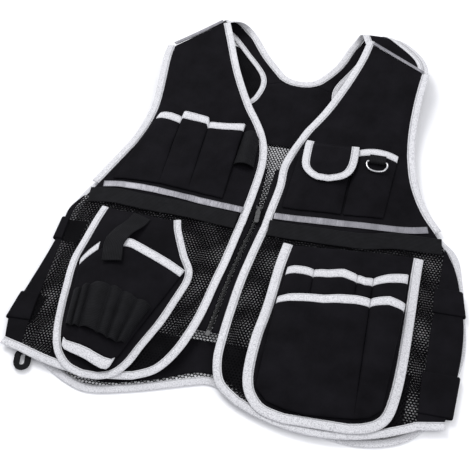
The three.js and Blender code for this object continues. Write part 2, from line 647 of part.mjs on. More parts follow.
const bitRaised = (level) => (v, u) => {
  const t = bitShares[Math.round(u * (bitShares.length - 1))];
  return bitLift(t, bitDown[Math.round(2 * v)]) + level;
};
add("holster_bit_loops", "webbing", sheet(bitGrid, onFront, bitRaised(0), bitRaised(cloth)));

// Strap from under the waist webbing across the mouth, stitched down on the holster front
const strapPath = [[-0.290, -0.052], [-0.300, -0.080], [-0.318, -0.116], [-0.326, -0.150],
  [-0.330, -0.176], [-0.326, -0.200], [-0.322, -0.226]];
const strapRise = holsterRise + frontBase + cloth + bindingThickness + 1;
const strapLift = (y) => frontBase + (strapRise - frontBase) * (1 - smooth(along(-0.17), along(-0.06), y));
const onStrap = (x, y, lift) => onFront(x, y, strapLift(y) + lift);
add("holster_strap", "webbing", strip(curve(strapPath, 8), onStrap, -webbingWidth / 2, webbingWidth, 1,
  0, webbingThickness));

// Tool pocket on the left: a bound backing, four pen pockets, and a wide and a narrow pocket below
const tools = {
  left: [[0.108, -0.068], [0.099, -0.140], [0.091, -0.260], [0.080, -0.350], [0.077, -0.430],
    [0.082, -0.474], [0.096, -0.502], [0.120, -0.522], [0.164, -0.532]],
  right: [[0.412, -0.042], [0.409, -0.110], [0.406, -0.230], [0.402, -0.340], [0.396, -0.420],
    [0.386, -0.480], [0.372, -0.506], [0.344, -0.522], [0.310, -0.530]],
};
const toolsLeft = curve(tools.left, 15);
const toolsRight = curve(tools.right, 15);
add("tool_backing", "oxford",
  sheet(between(toolsLeft, toolsRight, 4), onFront, pocketBase, pocketBase + cloth));
const toolsPath = [...toolsLeft, ...toolsRight.slice().reverse()];
add("tool_outline_binding", "binding", strip(toolsPath, onFront, seamGap, bindingWidth + 2, -1,
  pocketBase, pocketBase + bindingThickness));

const penPockets = pocket({
  mouth: [[0.104, -0.168], [0.124, -0.164], [0.150, -0.162], [0.172, -0.162], [0.208, -0.160],
    [0.244, -0.152], [0.280, -0.158], [0.300, -0.164], [0.320, -0.160], [0.356, -0.146],
    [0.404, -0.132]],
  foot: [[0.094, -0.310], [0.124, -0.310], [0.150, -0.310], [0.172, -0.310], [0.208, -0.310],
    [0.244, -0.310], [0.280, -0.310], [0.300, -0.310], [0.320, -0.310], [0.356, -0.310],
    [0.400, -0.310]],
  seams: [0, 0.3, 0.6, 0.8, 1],
  rises: [penPocketRise, penPocketRise, smallPenRise, penPocketRise],
  base: frontBase,
  power: 0.5,
});
const penLength = along(0.15);
add("pen_pockets", "oxford", pocketSheet(penPockets, [0, 1], [0, 1], 0, cloth, 4));
add("pen_pocket_binding", "binding", mouthBinding(penPockets, [0, 1], pocketBindingWidth, penLength));

const toolPockets = pocket({
  mouth: [[0.096, -0.260], [0.124, -0.254], [0.164, -0.248], [0.208, -0.244], [0.244, -0.236],
    [0.284, -0.230], [0.320, -0.228], [0.364, -0.216], [0.403, -0.220]],
  foot: [[0.088, -0.484], [0.118, -0.514], [0.164, -0.526], [0.208, -0.530], [0.244, -0.528],
    [0.284, -0.524], [0.320, -0.520], [0.352, -0.512], [0.380, -0.488]],
  seams: [0, 0.75, 1],
  rises: [toolPocketRise, toolPocketRise],
  base: frontBase + cloth + 3 * seamGap,
  power: 0.35,
});
const toolLength = along(0.28);
add("tool_pockets", "oxford", pocketSheet(toolPockets, [0, 1], [0, 1], 0, cloth, 7));
add("tool_pocket_binding", "binding", mouthBinding(toolPockets, [0, 1], pocketBindingWidth, toolLength));

// Side straps: each comes from the front, goes round the edge and ends on the inside of the back.
// from and to are its upper and lower rim, start where it begins on the front and edge the bend.
const sideStraps = {
  left_upper: { side: 1, from: -0.118, to: -0.190, start: 0.472, edge: [0.536, 0.548] },
  left_lower: { side: 1, from: -0.360, to: -0.470, start: 0.462, edge: [0.546, 0.536] },
  right_upper: { side: -1, from: -0.080, to: -0.150, start: 0.480, edge: [0.494, 0.498] },
  right_lower: { side: -1, from: -0.325, to: -0.403, start: 0.484, edge: [0.526, 0.539] },
};
const strapUnder = bindingThickness + seamGap + webbingThickness;
const bendRadius = (edgeRise + onCloth - strapUnder) / 2;
const backReach = along(0.06);

for (const [name, strap] of Object.entries(sideStraps)) {
  const edgeAt = (y) =>
    across(THREE.MathUtils.mapLinear(y, along(strap.from), along(strap.to), ...strap.edge));
  const onSide = (s, y, lift) => {
    const turn = THREE.MathUtils.clamp(s / bendRadius, 0, Math.PI);
    const flat = Math.min(s, 0) - Math.max(s - Math.PI * bendRadius, 0);
    const radius = bendRadius + lift;
    const x = strap.side * (edgeAt(y) + flat + radius * Math.sin(turn));
    if (s < 0) return onFront(x, y, onCloth + lift);
    return new THREE.Vector3(x, y, strapUnder + bendRadius + radius * Math.cos(turn));
  };
  const grid = [strap.from, (strap.from + strap.to) / 2, strap.to].map((row) => {
    const y = along(row);
    const length = edgeAt(y) - across(strap.start);
    const stops = [-1, -0.66, -0.33, 0].map((share) => share * length);
    const bend = [0.2, 0.4, 0.6, 0.8, 1].map((share) => share * Math.PI * bendRadius);
    return [...stops, ...bend, bend.at(-1) + backReach].map((s) => new THREE.Vector2(s, y));
  });
  add(`${name}_strap`, "oxford", sheet(grid, onSide, 0, webbingThickness));
}

// Loop at the right corner of the hem
const hookLoop = { x: -0.470, y: -0.506, width: 20, length: 28, slit: 6, slitLength: 16, turn: 0.15 };
function oval(width, length) {
  const straight = (length - width) / 2;
  const shape = new THREE.Shape();
  shape.absarc(0, straight, width / 2, 0, Math.PI, false);
  shape.absarc(0, -straight, width / 2, Math.PI, 2 * Math.PI, false);
  return shape;
}
const loopShape = oval(hookLoop.width, hookLoop.length);
loopShape.holes.push(oval(hookLoop.slit, hookLoop.slitLength));
add("hook_loop", "webbing", new THREE.ExtrudeGeometry(loopShape,
  { depth: bindingThickness, bevelEnabled: false, curveSegments: 8 })
  .rotateZ(hookLoop.turn)
  .translate(across(hookLoop.x), along(hookLoop.y), bindingThickness + seamGap));

const pinAlongX = (radius, width) =>
  new THREE.CylinderGeometry(radius, radius, width, 16).rotateZ(Math.PI / 2);

// Zip slider with two ears, and the pull whose cross pin turns in them
const slider = { x: 1, y: 15, bottom: torsoRise + zipTop + zipTeethThickness / 2 + seamGap };
const pinAbove = 2.1;
const earRadius = 2.3;
const earGap = 4.6;
const pinHeight = slider.bottom + sliderThickness + pinAbove;
const sliderPlan = new THREE.Shape();
sliderPlan.moveTo(-sliderWidth / 2, sliderLength / 2);
sliderPlan.lineTo(-sliderWidth / 3, -sliderLength / 2);
sliderPlan.lineTo(sliderWidth / 3, -sliderLength / 2);
sliderPlan.lineTo(sliderWidth / 2, sliderLength / 2);
sliderPlan.lineTo(sliderWidth / 4, sliderLength / 2 - 1.5);
sliderPlan.lineTo(-sliderWidth / 4, sliderLength / 2 - 1.5);
const sliderBody = new THREE.ExtrudeGeometry(sliderPlan, { depth: sliderThickness, bevelEnabled: false })
  .translate(0, 0, slider.bottom);
const ears = [-1, 1].map((side) => {
  const wall = side * (earGap + lugWall) / 2;
  const post = new THREE.BoxGeometry(lugWall, 2 * earRadius, pinAbove + 0.5)
    .translate(wall, 0, pinHeight - (pinAbove + 0.5) / 2);
  const round = pinAlongX(earRadius, lugWall).translate(wall, 0, pinHeight);
  return join(post, round);
});
const pinBore = pinAlongX(pullPin / 2 + seamGap, sliderWidth).translate(0, 0, pinHeight);
add("zip_slider", "zip_metal", cut(join(sliderBody, ...ears), pinBore).translate(slider.x, slider.y, 0));

const pullTilt = 0.12;
const pullShoulder = 5.4;
const pullPlan = new THREE.Shape();
const neck = earGap / 2 - 0.4;
pullPlan.moveTo(-neck, 1);
pullPlan.lineTo(-neck, -3.6);
pullPlan.lineTo(-pullWidth / 2, -pullShoulder);
pullPlan.lineTo(-pullWidth / 2, 3 - pullLength);
pullPlan.absarc(0, 3 - pullLength, pullWidth / 2, Math.PI, 2 * Math.PI, false);
pullPlan.lineTo(pullWidth / 2, -pullShoulder);
pullPlan.lineTo(neck, -3.6);
pullPlan.lineTo(neck, 1);
const pullPlate = new THREE.ExtrudeGeometry(pullPlan,
  { depth: pullThickness, bevelEnabled: false, curveSegments: 6 })
  .translate(0, 0, -pullThickness / 2);
const pullBar = pinAlongX(pullPin / 2, earGap + 2 * lugWall + 0.8);
add("zip_pull", "zip_metal", join(pullPlate, pullBar)
  .rotateX(pullTilt)
  .translate(slider.x, slider.y, pinHeight));

const stop = { x: -0.051, y: -0.361, width: 5.4, length: 8, turn: -0.15 };
const stopPlan = oval(stop.width, stop.length);
add("zip_stop", "zip_metal", new THREE.ExtrudeGeometry(stopPlan,
  { depth: zipTeethThickness + 0.8, bevelEnabled: false, curveSegments: 5 })
  .rotateZ(stop.turn)
  .translate(across(stop.x), along(stop.y), torsoRise + zipTop - zipTeethThickness / 2));

// D-ring on a folded tape at the mouth of the slim pocket
const ring = { x: 143, y: 116, tilt: 0.08 };
const ringWrap = ringWire / 2 + ringClearance + ringTapeThickness;
const ringFloor = frontUnder(ring.x, ring.y) + slimPocket.lift(0.5, 0.1) + cloth + 2 * seamGap;
const ringHeight = ringFloor + ringWrap;
const tabTop = slimPocket.plan(0.5, 0).y - seamGap;
const tab = new THREE.BoxGeometry(ringTapeWidth, tabTop - ring.y, 2 * ringTapeThickness)
  .translate(0, (tabTop - ring.y) / 2, ringTapeThickness - ringWrap);
const tabEye = pinAlongX(ringWrap, ringTapeWidth);
const tabBore = pinAlongX(ringWire / 2 + ringClearance, 2 * ringTapeWidth);
add("ring_tab", "webbing", cut(join(tab, tabEye), tabBore).translate(ring.x, ring.y, ringHeight));

// The ring is a closed D: rows are shares of its half width and of its depth, bar first
const ringOutline = [[-0.80, 0], [0, 0], [0.80, 0], [0.99, -0.16], [0.94, -0.52], [0.62, -0.87],
  [0, -1], [-0.62, -0.87], [-0.94, -0.52], [-0.99, -0.16]];
const ringHalf = (ringInside + ringWire) / 2;
const ringCurve = new THREE.CatmullRomCurve3(
  ringOutline.map(([u, v]) => new THREE.Vector3(u * ringHalf, v * ringDepth, 0)), true, "centripetal");
add("d_ring", "metal", toGeometry(toSolid(new THREE.TubeGeometry(ringCurve, 40, ringWire / 2, 8, true)))
  .rotateX(ring.tilt)
  .translate(ring.x, ring.y, ringHeight));

export default vest;
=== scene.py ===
import json
import math

import bpy
import numpy as np
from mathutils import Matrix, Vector


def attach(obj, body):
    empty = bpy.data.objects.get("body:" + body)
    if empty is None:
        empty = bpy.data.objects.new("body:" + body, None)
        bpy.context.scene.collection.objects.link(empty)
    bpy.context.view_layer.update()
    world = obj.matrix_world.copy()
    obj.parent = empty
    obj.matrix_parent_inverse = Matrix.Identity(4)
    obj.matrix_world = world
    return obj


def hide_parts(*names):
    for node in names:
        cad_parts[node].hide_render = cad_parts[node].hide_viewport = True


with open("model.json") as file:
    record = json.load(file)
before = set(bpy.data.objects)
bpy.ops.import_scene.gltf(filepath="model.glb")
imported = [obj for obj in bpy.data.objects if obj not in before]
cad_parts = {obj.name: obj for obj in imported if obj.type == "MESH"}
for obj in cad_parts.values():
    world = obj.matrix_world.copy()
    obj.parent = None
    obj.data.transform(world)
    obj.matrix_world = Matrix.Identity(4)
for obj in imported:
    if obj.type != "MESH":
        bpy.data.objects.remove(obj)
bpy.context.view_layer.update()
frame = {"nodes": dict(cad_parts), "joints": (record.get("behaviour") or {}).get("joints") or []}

# Utility work vest lying on its back with the front up: cloth, mesh, edge tape and fittings
# laid over the frame. Tables are shares of WIDTH across and LENGTH along, lifts are millimetres.

WIDTH = LENGTH = 500.0
TORSO_RISE = 13.0
EDGE_RISE = 6.5
SHOULDER_RADIUS = 14.0
LEAN = 0.06
CLOTH = 1.4
SEAM_GAP = 0.3
EDGE_TAPE = 10.5
EDGE_TAPE_THICKNESS = 2.6
MOUTH_TAPE = 12.0
FOOT_TAPE = 13.5
WEBBING = 25.0
WEBBING_THICKNESS = 1.5
TAPE = 10.0
TAPE_THICKNESS = 0.5
FLAP_POCKET_RISE = 7.0
HOLSTER_RISE = 11.0
BIT_LOOP_RISE = 5.5
ON_CLOTH = CLOTH + SEAM_GAP
ON_BACKING = 2 * ON_CLOTH
POCKET_BASE = ON_CLOTH + 0.7
FRONT_BASE = POCKET_BASE + CLOTH + 2 * SEAM_GAP

# Long folds: place, turn, half width, half length, and height in millimetres
FOLDS = [
  (-0.26, 0.33, 0.5, 0.03, 0.12, 2.6),
  (0.21, 0.33, -0.6, 0.034, 0.12, 2.4),
  (0.14, 0.34, 0.1, 0.03, 0.12, 2.0),
  (-0.1, -0.36, 1.3, 0.028, 0.14, 2.2),
  (0.03, -0.3, 1.5, 0.022, 0.16, 1.6),
]

# Left and right shoulder roll: half width before the slant, place up the back, and slant
ROLLS = [(0.24, 0.716, 0.12), (0.224, 0.7, 1.05)]

FRONTS = {
  "right": {
    "side": -1,
    "frontEdge": [[-0.228, 0.69], [-0.206, 0.628], [-0.162, 0.502], [-0.11, 0.392],
      [-0.062, 0.312], [-0.038, 0.25], [-0.03, 0.18], [-0.036, 0.08], [-0.046, -0.016]],
    "armhole": [[-0.346, 0.567], [-0.348, 0.52], [-0.344, 0.44], [-0.341, 0.356],
      [-0.347, 0.284], [-0.366, 0.21], [-0.402, 0.128], [-0.438, 0.044], [-0.458, 0.002]],
    "lowerEdge": [[-0.047, -0.018], [-0.056, -0.088], [-0.066, -0.16], [-0.076, -0.22],
      [-0.086, -0.29], [-0.102, -0.36], [-0.124, -0.42], [-0.158, -0.468], [-0.204, -0.492]],
    "sideSeam": [[-0.459, 0.001], [-0.476, -0.05], [-0.478, -0.12], [-0.48, -0.2],
      [-0.482, -0.28], [-0.483, -0.36], [-0.484, -0.42], [-0.482, -0.468]],
    "sideEdge": [[-0.463, 0], [-0.49, -0.05], [-0.492, -0.12], [-0.504, -0.21],
      [-0.52, -0.3], [-0.536, -0.39], [-0.534, -0.424], [-0.528, -0.456]],
    "hemSag": 0.02,
    "waist": [[-0.049, -0.019], [-0.15, -0.01], [-0.3, -0.002], [-0.38, 0.006], [-0.45, 0.002]],
    "tape": [[-0.04, 0.021], [-0.15, 0.03], [-0.26, 0.042], [-0.37, 0.048], [-0.422, 0.044]],
  },
  "left": {
    "side": 1,
    "frontEdge": [[0.224, 0.682], [0.208, 0.6], [0.178, 0.5], [0.134, 0.394],
      [0.088, 0.304], [0.056, 0.2], [0.054, 0.12], [0.044, 0.036], [0.038, -0.024]],
    "armhole": [[0.374, 0.592], [0.366, 0.524], [0.36, 0.45], [0.358, 0.37],
      [0.364, 0.28], [0.382, 0.19], [0.418, 0.108], [0.466, 0.04], [0.486, 0.008]],
    "lowerEdge": [[0.037, -0.026], [0.024, -0.1], [0.01, -0.19], [0.002, -0.28],
      [-0.003, -0.37], [-0.002, -0.43], [0.014, -0.478], [0.056, -0.51]],
    "sideSeam": [[0.487, 0.006], [0.484, -0.06], [0.478, -0.14], [0.473, -0.22],
      [0.47, -0.3], [0.468, -0.38], [0.464, -0.44], [0.46, -0.492]],
    "sideEdge": [[0.491, 0.004], [0.52, -0.06], [0.538, -0.14], [0.55, -0.22],
      [0.55, -0.3], [0.542, -0.38], [0.534, -0.44], [0.524, -0.48]],
    "hemSag": 0.05,
    "waist": [[0.036, -0.024], [0.14, -0.024], [0.28, -0.02], [0.36, -0.002], [0.48, 0.01]],
    "tape": [[0.043, 0.018], [0.14, 0.022], [0.26, 0.03], [0.37, 0.038], [0.44, 0.056]],
  },
}

BACK = {
  "top": [[-0.35, 0.43], [-0.29, 0.56], [-0.23, 0.64], [-0.178, 0.656], [-0.128, 0.612],
    [-0.08, 0.572], [-0.04, 0.548], [0.032, 0.522], [0.104, 0.548], [0.144, 0.576],
    [0.17, 0.64], [0.22, 0.66], [0.28, 0.6], [0.352, 0.44]],
  "right": [[-0.35, 0.43], [-0.352, 0.3], [-0.4, 0.12], [-0.452, 0.01], [-0.468, -0.06],
    [-0.472, -0.16], [-0.486, -0.26], [-0.502, -0.36], [-0.5, -0.448]],
  "left": [[0.352, 0.44], [0.362, 0.3], [0.404, 0.15], [0.458, 0.04], [0.502, -0.01],
    [0.518, -0.08], [0.534, -0.2], [0.538, -0.29], [0.52, -0.38], [0.504, -0.45]],
  "hem": [[-0.5, -0.448], [-0.41, -0.49], [-0.34, -0.526], [-0.286, -0.536],
    [-0.186, -0.512], [-0.076, -0.476], [-0.03, -0.464], [0.012, -0.472], [0.12, -0.524],
    [0.24, -0.544], [0.34, -0.552], [0.43, -0.524], [0.504, -0.45]],
}

YOKE_TOP = [[-0.3, 0.32], [-0.216, 0.36], [-0.14, 0.388], [-0.084, 0.428],
  [-0.068, 0.472], [-0.062, 0.512], [-0.02, 0.528], [0.032, 0.516], [0.084, 0.528],
  [0.126, 0.512], [0.132, 0.472], [0.148, 0.428], [0.204, 0.388], [0.27, 0.36], [0.332, 0.32]]

# Arm side and neck side of each row up a strap
STRAPS = {
  "right": [
    [[-0.062, 0.512], [-0.02, 0.528]],
    [[-0.07, 0.548], [-0.044, 0.557]],
    [[-0.094, 0.584], [-0.074, 0.592]],
    [[-0.128, 0.624], [-0.107, 0.635]],
    [[-0.162, 0.668], [-0.136, 0.688]],
    [[-0.186, 0.696], [-0.16, 0.716]],
    [[-0.206, 0.716], [-0.182, 0.738]],
    [[-0.232, 0.728], [-0.2, 0.756]],
    [[-0.272, 0.712], [-0.214, 0.764]],
    [[-0.31, 0.686], [-0.221, 0.77]],
    [[-0.346, 0.654], [-0.227, 0.775]],
  ],
  "left": [
    [[0.126, 0.512], [0.084, 0.528]],
    [[0.134, 0.548], [0.108, 0.558]],
    [[0.154, 0.588], [0.134, 0.595]],
    [[0.178, 0.636], [0.157, 0.642]],
    [[0.198, 0.684], [0.17, 0.698]],
    [[0.214, 0.716], [0.186, 0.73]],
    [[0.232, 0.744], [0.198, 0.758]],
    [[0.262, 0.774], [0.206, 0.782]],
    [[0.306, 0.802], [0.211, 0.8]],
    [[0.35, 0.83], [0.216, 0.812]],
    [[0.372, 0.862], [0.219, 0.82]],
    [[0.375, 0.892], [0.221, 0.827]],
  ],
}

PIPING = {
  "left": [[0.232, 0.682], [0.3, 0.64], [0.368, 0.598]],
  "right": [[-0.236, 0.69], [-0.29, 0.632], [-0.342, 0.58]],
}

ZIP_TAPES = {
  "right": {
    "outer": [[-0.018, 0.18], [-0.021, 0.08], [-0.029, 0.01], [-0.041, -0.09],
      [-0.06, -0.208], [-0.082, -0.356]],
    "inner": [[-0.002, 0.18], [-0.003, 0.06], [-0.011, -0.024], [-0.023, -0.09],
      [-0.04, -0.208], [-0.057, -0.356]],
  },
  "left": {
    "outer": [[0.039, 0.18], [0.03, 0.08], [0.024, -0.01], [0.012, -0.09],
      [-0.007, -0.208], [-0.018, -0.356]],
    "inner": [[0.021, 0.18], [0.011, 0.06], [0.001, -0.024], [-0.01, -0.09],
      [-0.028, -0.208], [-0.043, -0.356]],
  },
}

ZIP_CENTRE = [[0.004, 0.04], [-0.005, -0.024], [-0.0165, -0.09], [-0.034, -0.208],
  [-0.05, -0.35]]

FLAP = {
  "axis": [[0.16, 0.292], [0.16, 0.23], [0.158, 0.196], [0.156, 0.178], [0.15, 0.166]],
  "half": [0.051, 0.052, 0.048, 0.036, 0.014],
}

HOLSTER = {
  "left": [[-0.384, -0.038], [-0.394, -0.08], [-0.406, -0.15], [-0.416, -0.216], [-0.412, -0.29],
    [-0.406, -0.36], [-0.396, -0.424], [-0.38, -0.47], [-0.352, -0.5], [-0.318, -0.512]],
  "right": [[-0.208, -0.05], [-0.198, -0.086], [-0.168, -0.156], [-0.142, -0.212], [-0.16, -0.29],
    [-0.18, -0.358], [-0.206, -0.418], [-0.228, -0.47], [-0.252, -0.5], [-0.282, -0.512]],
}

STRAP_PATH = [[-0.29, -0.052], [-0.3, -0.08], [-0.318, -0.116], [-0.326, -0.15],
  [-0.33, -0.176], [-0.326, -0.2], [-0.322, -0.226]]

TOOLS = {
  "left": [[0.108, -0.068], [0.099, -0.14], [0.091, -0.26], [0.08, -0.35], [0.077, -0.43],
    [0.082, -0.474], [0.096, -0.502], [0.12, -0.522], [0.164, -0.532]],
  "right": [[0.412, -0.042], [0.409, -0.11], [0.406, -0.23], [0.402, -0.34], [0.396, -0.42],
    [0.386, -0.48], [0.372, -0.506], [0.344, -0.522], [0.31, -0.53]],
}

# Side of the vest, upper and lower edge, start on the front, and the vest's side at both edges
SIDE_STRAPS = {
  "left_upper": (1, -0.118, -0.19, 0.472, (0.536, 0.548)),
  "left_lower": (1, -0.36, -0.47, 0.462, (0.546, 0.536)),
  "right_upper": (-1, -0.08, -0.15, 0.48, (0.494, 0.498)),
  "right_lower": (-1, -0.325, -0.403, 0.484, (0.526, 0.539)),
}

RING_OUTLINE = [[-0.8, 0], [0, 0], [0.8, 0], [0.99, -0.16], [0.94, -0.52], [0.62, -0.87],
  [0, -1], [-0.62, -0.87], [-0.94, -0.52], [-0.99, -0.16]]

BIT_BAND = { "from": 0.42, "to": 0.86, "loops": [0.03, 0.17, 0.29, 0.56, 0.7, 0.84, 0.97] }


# Shape helpers

def curve_point(a, b, c, d, w):
    """Catmull-Rom point between b and c at share w."""
    return b + w * ((c - a) / 2 + w * ((2 * a - 5 * b + 4 * c - d) / 2 + w * (3 * b - 3 * c + d - a) / 2))


def spline(table, steps):
    """Points at equal steps along a Catmull-Rom curve through a table of shares."""
    points = np.array(table, float) * LENGTH
    ends = np.vstack([points[:1], points, points[-1:]])
    t = np.linspace(0, len(points) - 1, 60 * len(points))
    i = np.minimum(t.astype(int), len(points) - 2)
    w = (t - i)[:, None]
    q = curve_point(*(ends[i + k] for k in range(4)), w)
    run = np.concatenate([[0], np.cumsum(np.linalg.norm(np.diff(q, axis=0), axis=1))])
    at = np.linspace(0, run[-1], steps + 1)
    return np.column_stack([np.interp(at, run, q[:, k]) for k in (0, 1)])


def smooth(low, high, value):
    """Smooth step from 0 at low to 1 at high."""
    t = np.clip((value - low) / (high - low), 0, 1)
    return t * t * (3 - 2 * t)


def waves(x, y, size, seed):
    """Soft random height between -1 and 1: eight sine waves of about the given size, seeded."""
    rng = np.random.default_rng(seed)
    total = np.zeros_like(x, dtype=float)
    for _ in range(8):
        turn, phase = rng.uniform(0, 2 * math.pi, 2)
        length = size * rng.uniform(0.7, 1.6)
        total = total + np.sin(2 * math.pi * (x * math.cos(turn) + y * math.sin(turn)) / length + phase)
    return total / 4


STILL = [(0, 5, 45), (-25, -180, 25), (143, 112, 40)]


def creases(x, y):
    """Small folds of the cloth, fading out where a hard piece sits on it."""
    height = 0.55 * waves(x, y, 70, 3) + 0.35 * waves(x, y, 28, 5)
    for cx, cy, reach in STILL:
        height = height * (1 - np.exp(-((x - cx) ** 2 + (y - cy) ** 2) / reach ** 2))
    return height


def fold_height(x, y):
    """Sum of long rounded folds, each a stretched bell over its centre line."""
    height = np.zeros_like(x, dtype=float)
    for x0, y0, turn, wide, long, high in FOLDS:
        dx, dy = x - WIDTH * x0, y - LENGTH * y0
        u = dx * math.cos(turn) + dy * math.sin(turn)
        v = dy * math.cos(turn) - dx * math.sin(turn)
        height = height + high * np.exp(-(u / (LENGTH * long)) ** 2 - (v / (WIDTH * wide)) ** 2)
    return height


def turn_line(x):
    """Where the back strap at x leaves the floor to turn over the shoulder."""
    left, right = (LENGTH * y0 - slant * np.maximum(0, np.abs(x) - WIDTH * x0) for x0, y0, slant in ROLLS)
    return np.where(x > 0, left, right)


def front_under(x, y):
    """Height of the underside of the fronts: flat on the body, low at the sides and hem, high at the
    shoulders, with folds and small creases."""
    off = np.abs(x - LEAN * y)
    low = smooth(WIDTH * 0.3, WIDTH * 0.5, off) * (1 - smooth(LENGTH * 0.12, LENGTH * 0.3, y))
    hem = 1 - smooth(LENGTH * -0.56, LENGTH * -0.38, y)
    shoulder = smooth(LENGTH * 0.28, LENGTH * 0.56, y)
    top = 2 * SHOULDER_RADIUS - CLOTH
    edge = np.maximum(low, hem)
    flat = TORSO_RISE - (TORSO_RISE - EDGE_RISE) * edge
    folded = (fold_height(x, y) + creases(x, y)) * (1 - 0.7 * edge) * (1 - shoulder)
    return flat + folded + (top - flat) * shoulder


def on_front(x, y, lift):
    """Point of the front cloth, lift above its underside."""
    return np.stack([x, y, front_under(x, y) + lift], axis=-1)


def on_back(x, s, lift):
    """Point of the back cloth: flat on the floor, then round the shoulder roll by arc length s."""
    line = turn_line(x)
    past = s - line
    angle = np.clip(past / SHOULDER_RADIUS, 0, math.pi)
    rest = np.maximum(0, past - math.pi * SHOULDER_RADIUS)
    radius = SHOULDER_RADIUS - lift
    y = np.where(past <= 0, s, line + radius * np.sin(angle) - rest)
    z = np.where(past <= 0, lift, SHOULDER_RADIUS - radius * np.cos(angle))
    return np.stack([x * np.ones_like(y), y, z], axis=-1)


def soften(path, reach):
    """Path with its corners rounded by a running mean over reach points, ends kept."""
    before = 2 * path[0] - path[reach:0:-1]
    after = 2 * path[-1] - path[-2:-reach - 2:-1]
    run = np.cumsum(np.concatenate([before[:1] * 0, before, path, after]), axis=0)
    width = 2 * reach + 1
    return (run[width:] - run[:-width]) / width


def shares(count, lip=0.0):
    """Even shares from 0 to 1, with one extra row lip away from either end for a rounded edge."""
    if not lip:
        return np.linspace(0, 1, count + 1)
    return np.concatenate([[0], np.linspace(lip, 1 - lip, count - 1), [1]])


def at_shares(points, values):
    """Points of a list at fractional shares of its length in steps."""
    where = values * (len(points) - 1)
    steps = np.arange(len(points))
    return np.stack([np.interp(where, steps, points[:, k]) for k in (0, 1)], axis=-1)


def ruled(first, second, across, down, sag=0.0):
    """Plan grid between two curves; sag drops the middle of the last rows, as the hem hangs."""
    a, b = at_shares(first, down), at_shares(second, down)
    grid = a[:, None] * (1 - across)[None, :, None] + b[:, None] * across[None, :, None]
    drop = sag * 4 * across * (1 - across)
    grid[:, :, 1] -= drop[None, :] * (down[:, None] ** 4)
    return grid


def unit_ways(path):
    """Unit steps along a path, and to the left of it."""
    way = np.gradient(path, axis=0)
    way = way / np.linalg.norm(way, axis=1)[:, None]
    return way, np.column_stack([-way[:, 1], way[:, 0]])


def beside(path, inset, width, across, side=1):
    """Plan grid of a strip: the path and its copies moved sideways, side 1 to the left of it."""
    out = unit_ways(path)[1] * side
    return path[:, None] + out[:, None] * (inset + width * across)[None, :, None]


# Cloth panels and what each lies on
LAID_ON = {
    "floor": ["back_mesh"],
    "back_mesh": ["back_yoke", "back_hem_band", "right_chest_panel", "left_chest_panel",
                  "right_lower_mesh", "left_lower_mesh", "right_side_panel", "left_side_panel"],
    "right_chest_panel": ["right_chest_pockets"],
    "left_chest_panel": ["left_flap_pocket", "left_slim_pocket"],
    "left_flap_pocket": ["left_flap"],
    "right_lower_mesh": ["holster_backing"],
    "holster_backing": ["holster_front"],
    "left_lower_mesh": ["tool_backing"],
    "tool_backing": ["pen_pockets"],
    "pen_pockets": ["tool_pockets"],
}
SHEETS = {name: [under] for under, names in LAID_ON.items() for name in names}


def add_object(name, data):
    """Object of the scene that shows data."""
    obj = bpy.data.objects.new(name, data)
    bpy.context.scene.collection.objects.link(obj)
    return obj


def new_mesh(name, points, faces, smooth=True):
    """Mesh of points in millimetres."""
    mesh = bpy.data.meshes.new(name)
    mesh.from_pydata((points.reshape(-1, 3) / 1000).tolist(), [], faces)
    mesh.polygons.foreach_set("use_smooth", np.full(len(faces), smooth))
    return mesh


def add_piece(name, mesh, material, body, replaces):
    """Object of one mesh with its finish, riding on a body of the frame."""
    mesh.materials.append(MATERIALS[material])
    obj = add_object(name, mesh)
    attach(obj, body)
    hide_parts(*replaces)
    return obj


def closed_mesh(name, top, bottom, uv, look, replaces):
    """Object from two matching grids of points in millimetres, joined round their rims."""
    rows, cols = top.shape[:2]
    count = rows * cols
    points = np.concatenate([top.reshape(-1, 3), bottom.reshape(-1, 3)])
    ids = np.arange(count).reshape(rows, cols)
    quads = np.stack([ids[:-1, :-1], ids[:-1, 1:], ids[1:, 1:], ids[1:, :-1]], axis=-1).reshape(-1, 4)
    rim = np.concatenate([ids[0, :-1], ids[:-1, -1], ids[-1, :0:-1], ids[:0:-1, 0]])
    after = np.roll(rim, -1)
    sides = np.stack([rim, rim + count, after + count, after], axis=-1)
    faces = np.concatenate([quads, quads[:, ::-1] + count, sides])
    a, b, c, d = (points[faces[:, k]] for k in range(4))
    volume = np.einsum("ij,ij->", a, np.cross(b, c) + np.cross(c, d))
    if volume < 0:
        faces = faces[:, ::-1]
    mesh = new_mesh(name, points, faces.tolist())
    layer = mesh.uv_layers.new(name="cloth")
    flat = np.tile(uv.reshape(-1, 2), (2, 1)) / 1000
    layer.data.foreach_set("uv", flat[faces.reshape(-1)].astype(np.float32).reshape(-1))
    return add_piece(name, mesh, look, "vest", replaces)


def cut_sheet(points):
    """Work out the width, length and area that a panel was cut to; the results are not kept."""
    run = lengths(points)
    width, length = run[:, -1, 1].max(), run[-1, :, 0].max()
    a, b, c, d = points[:-1, :-1], points[:-1, 1:], points[1:, 1:], points[1:, :-1]
    halves = np.cross(d - a, b - a), np.cross(d - c, b - c)
    area = sum(np.linalg.norm(half, axis=2).sum() for half in halves) / 2
    length = max(length, area / width)


RIM = 0.35


def half_thickness(shape, thickness, pillow=False):
    """Half thickness over a grid: thinner at the rims, or for tape a rounded section across it."""
    half = np.full(shape, thickness / 2)
    if pillow:
        half *= 1 - np.abs(np.linspace(-1, 1, shape[1])) ** 3.2 * 0.86
        half[[0, -1], :] *= 0.4
    else:
        half[:, [0, -1]] *= RIM
        half[[0, -1], :] *= RIM
    return half


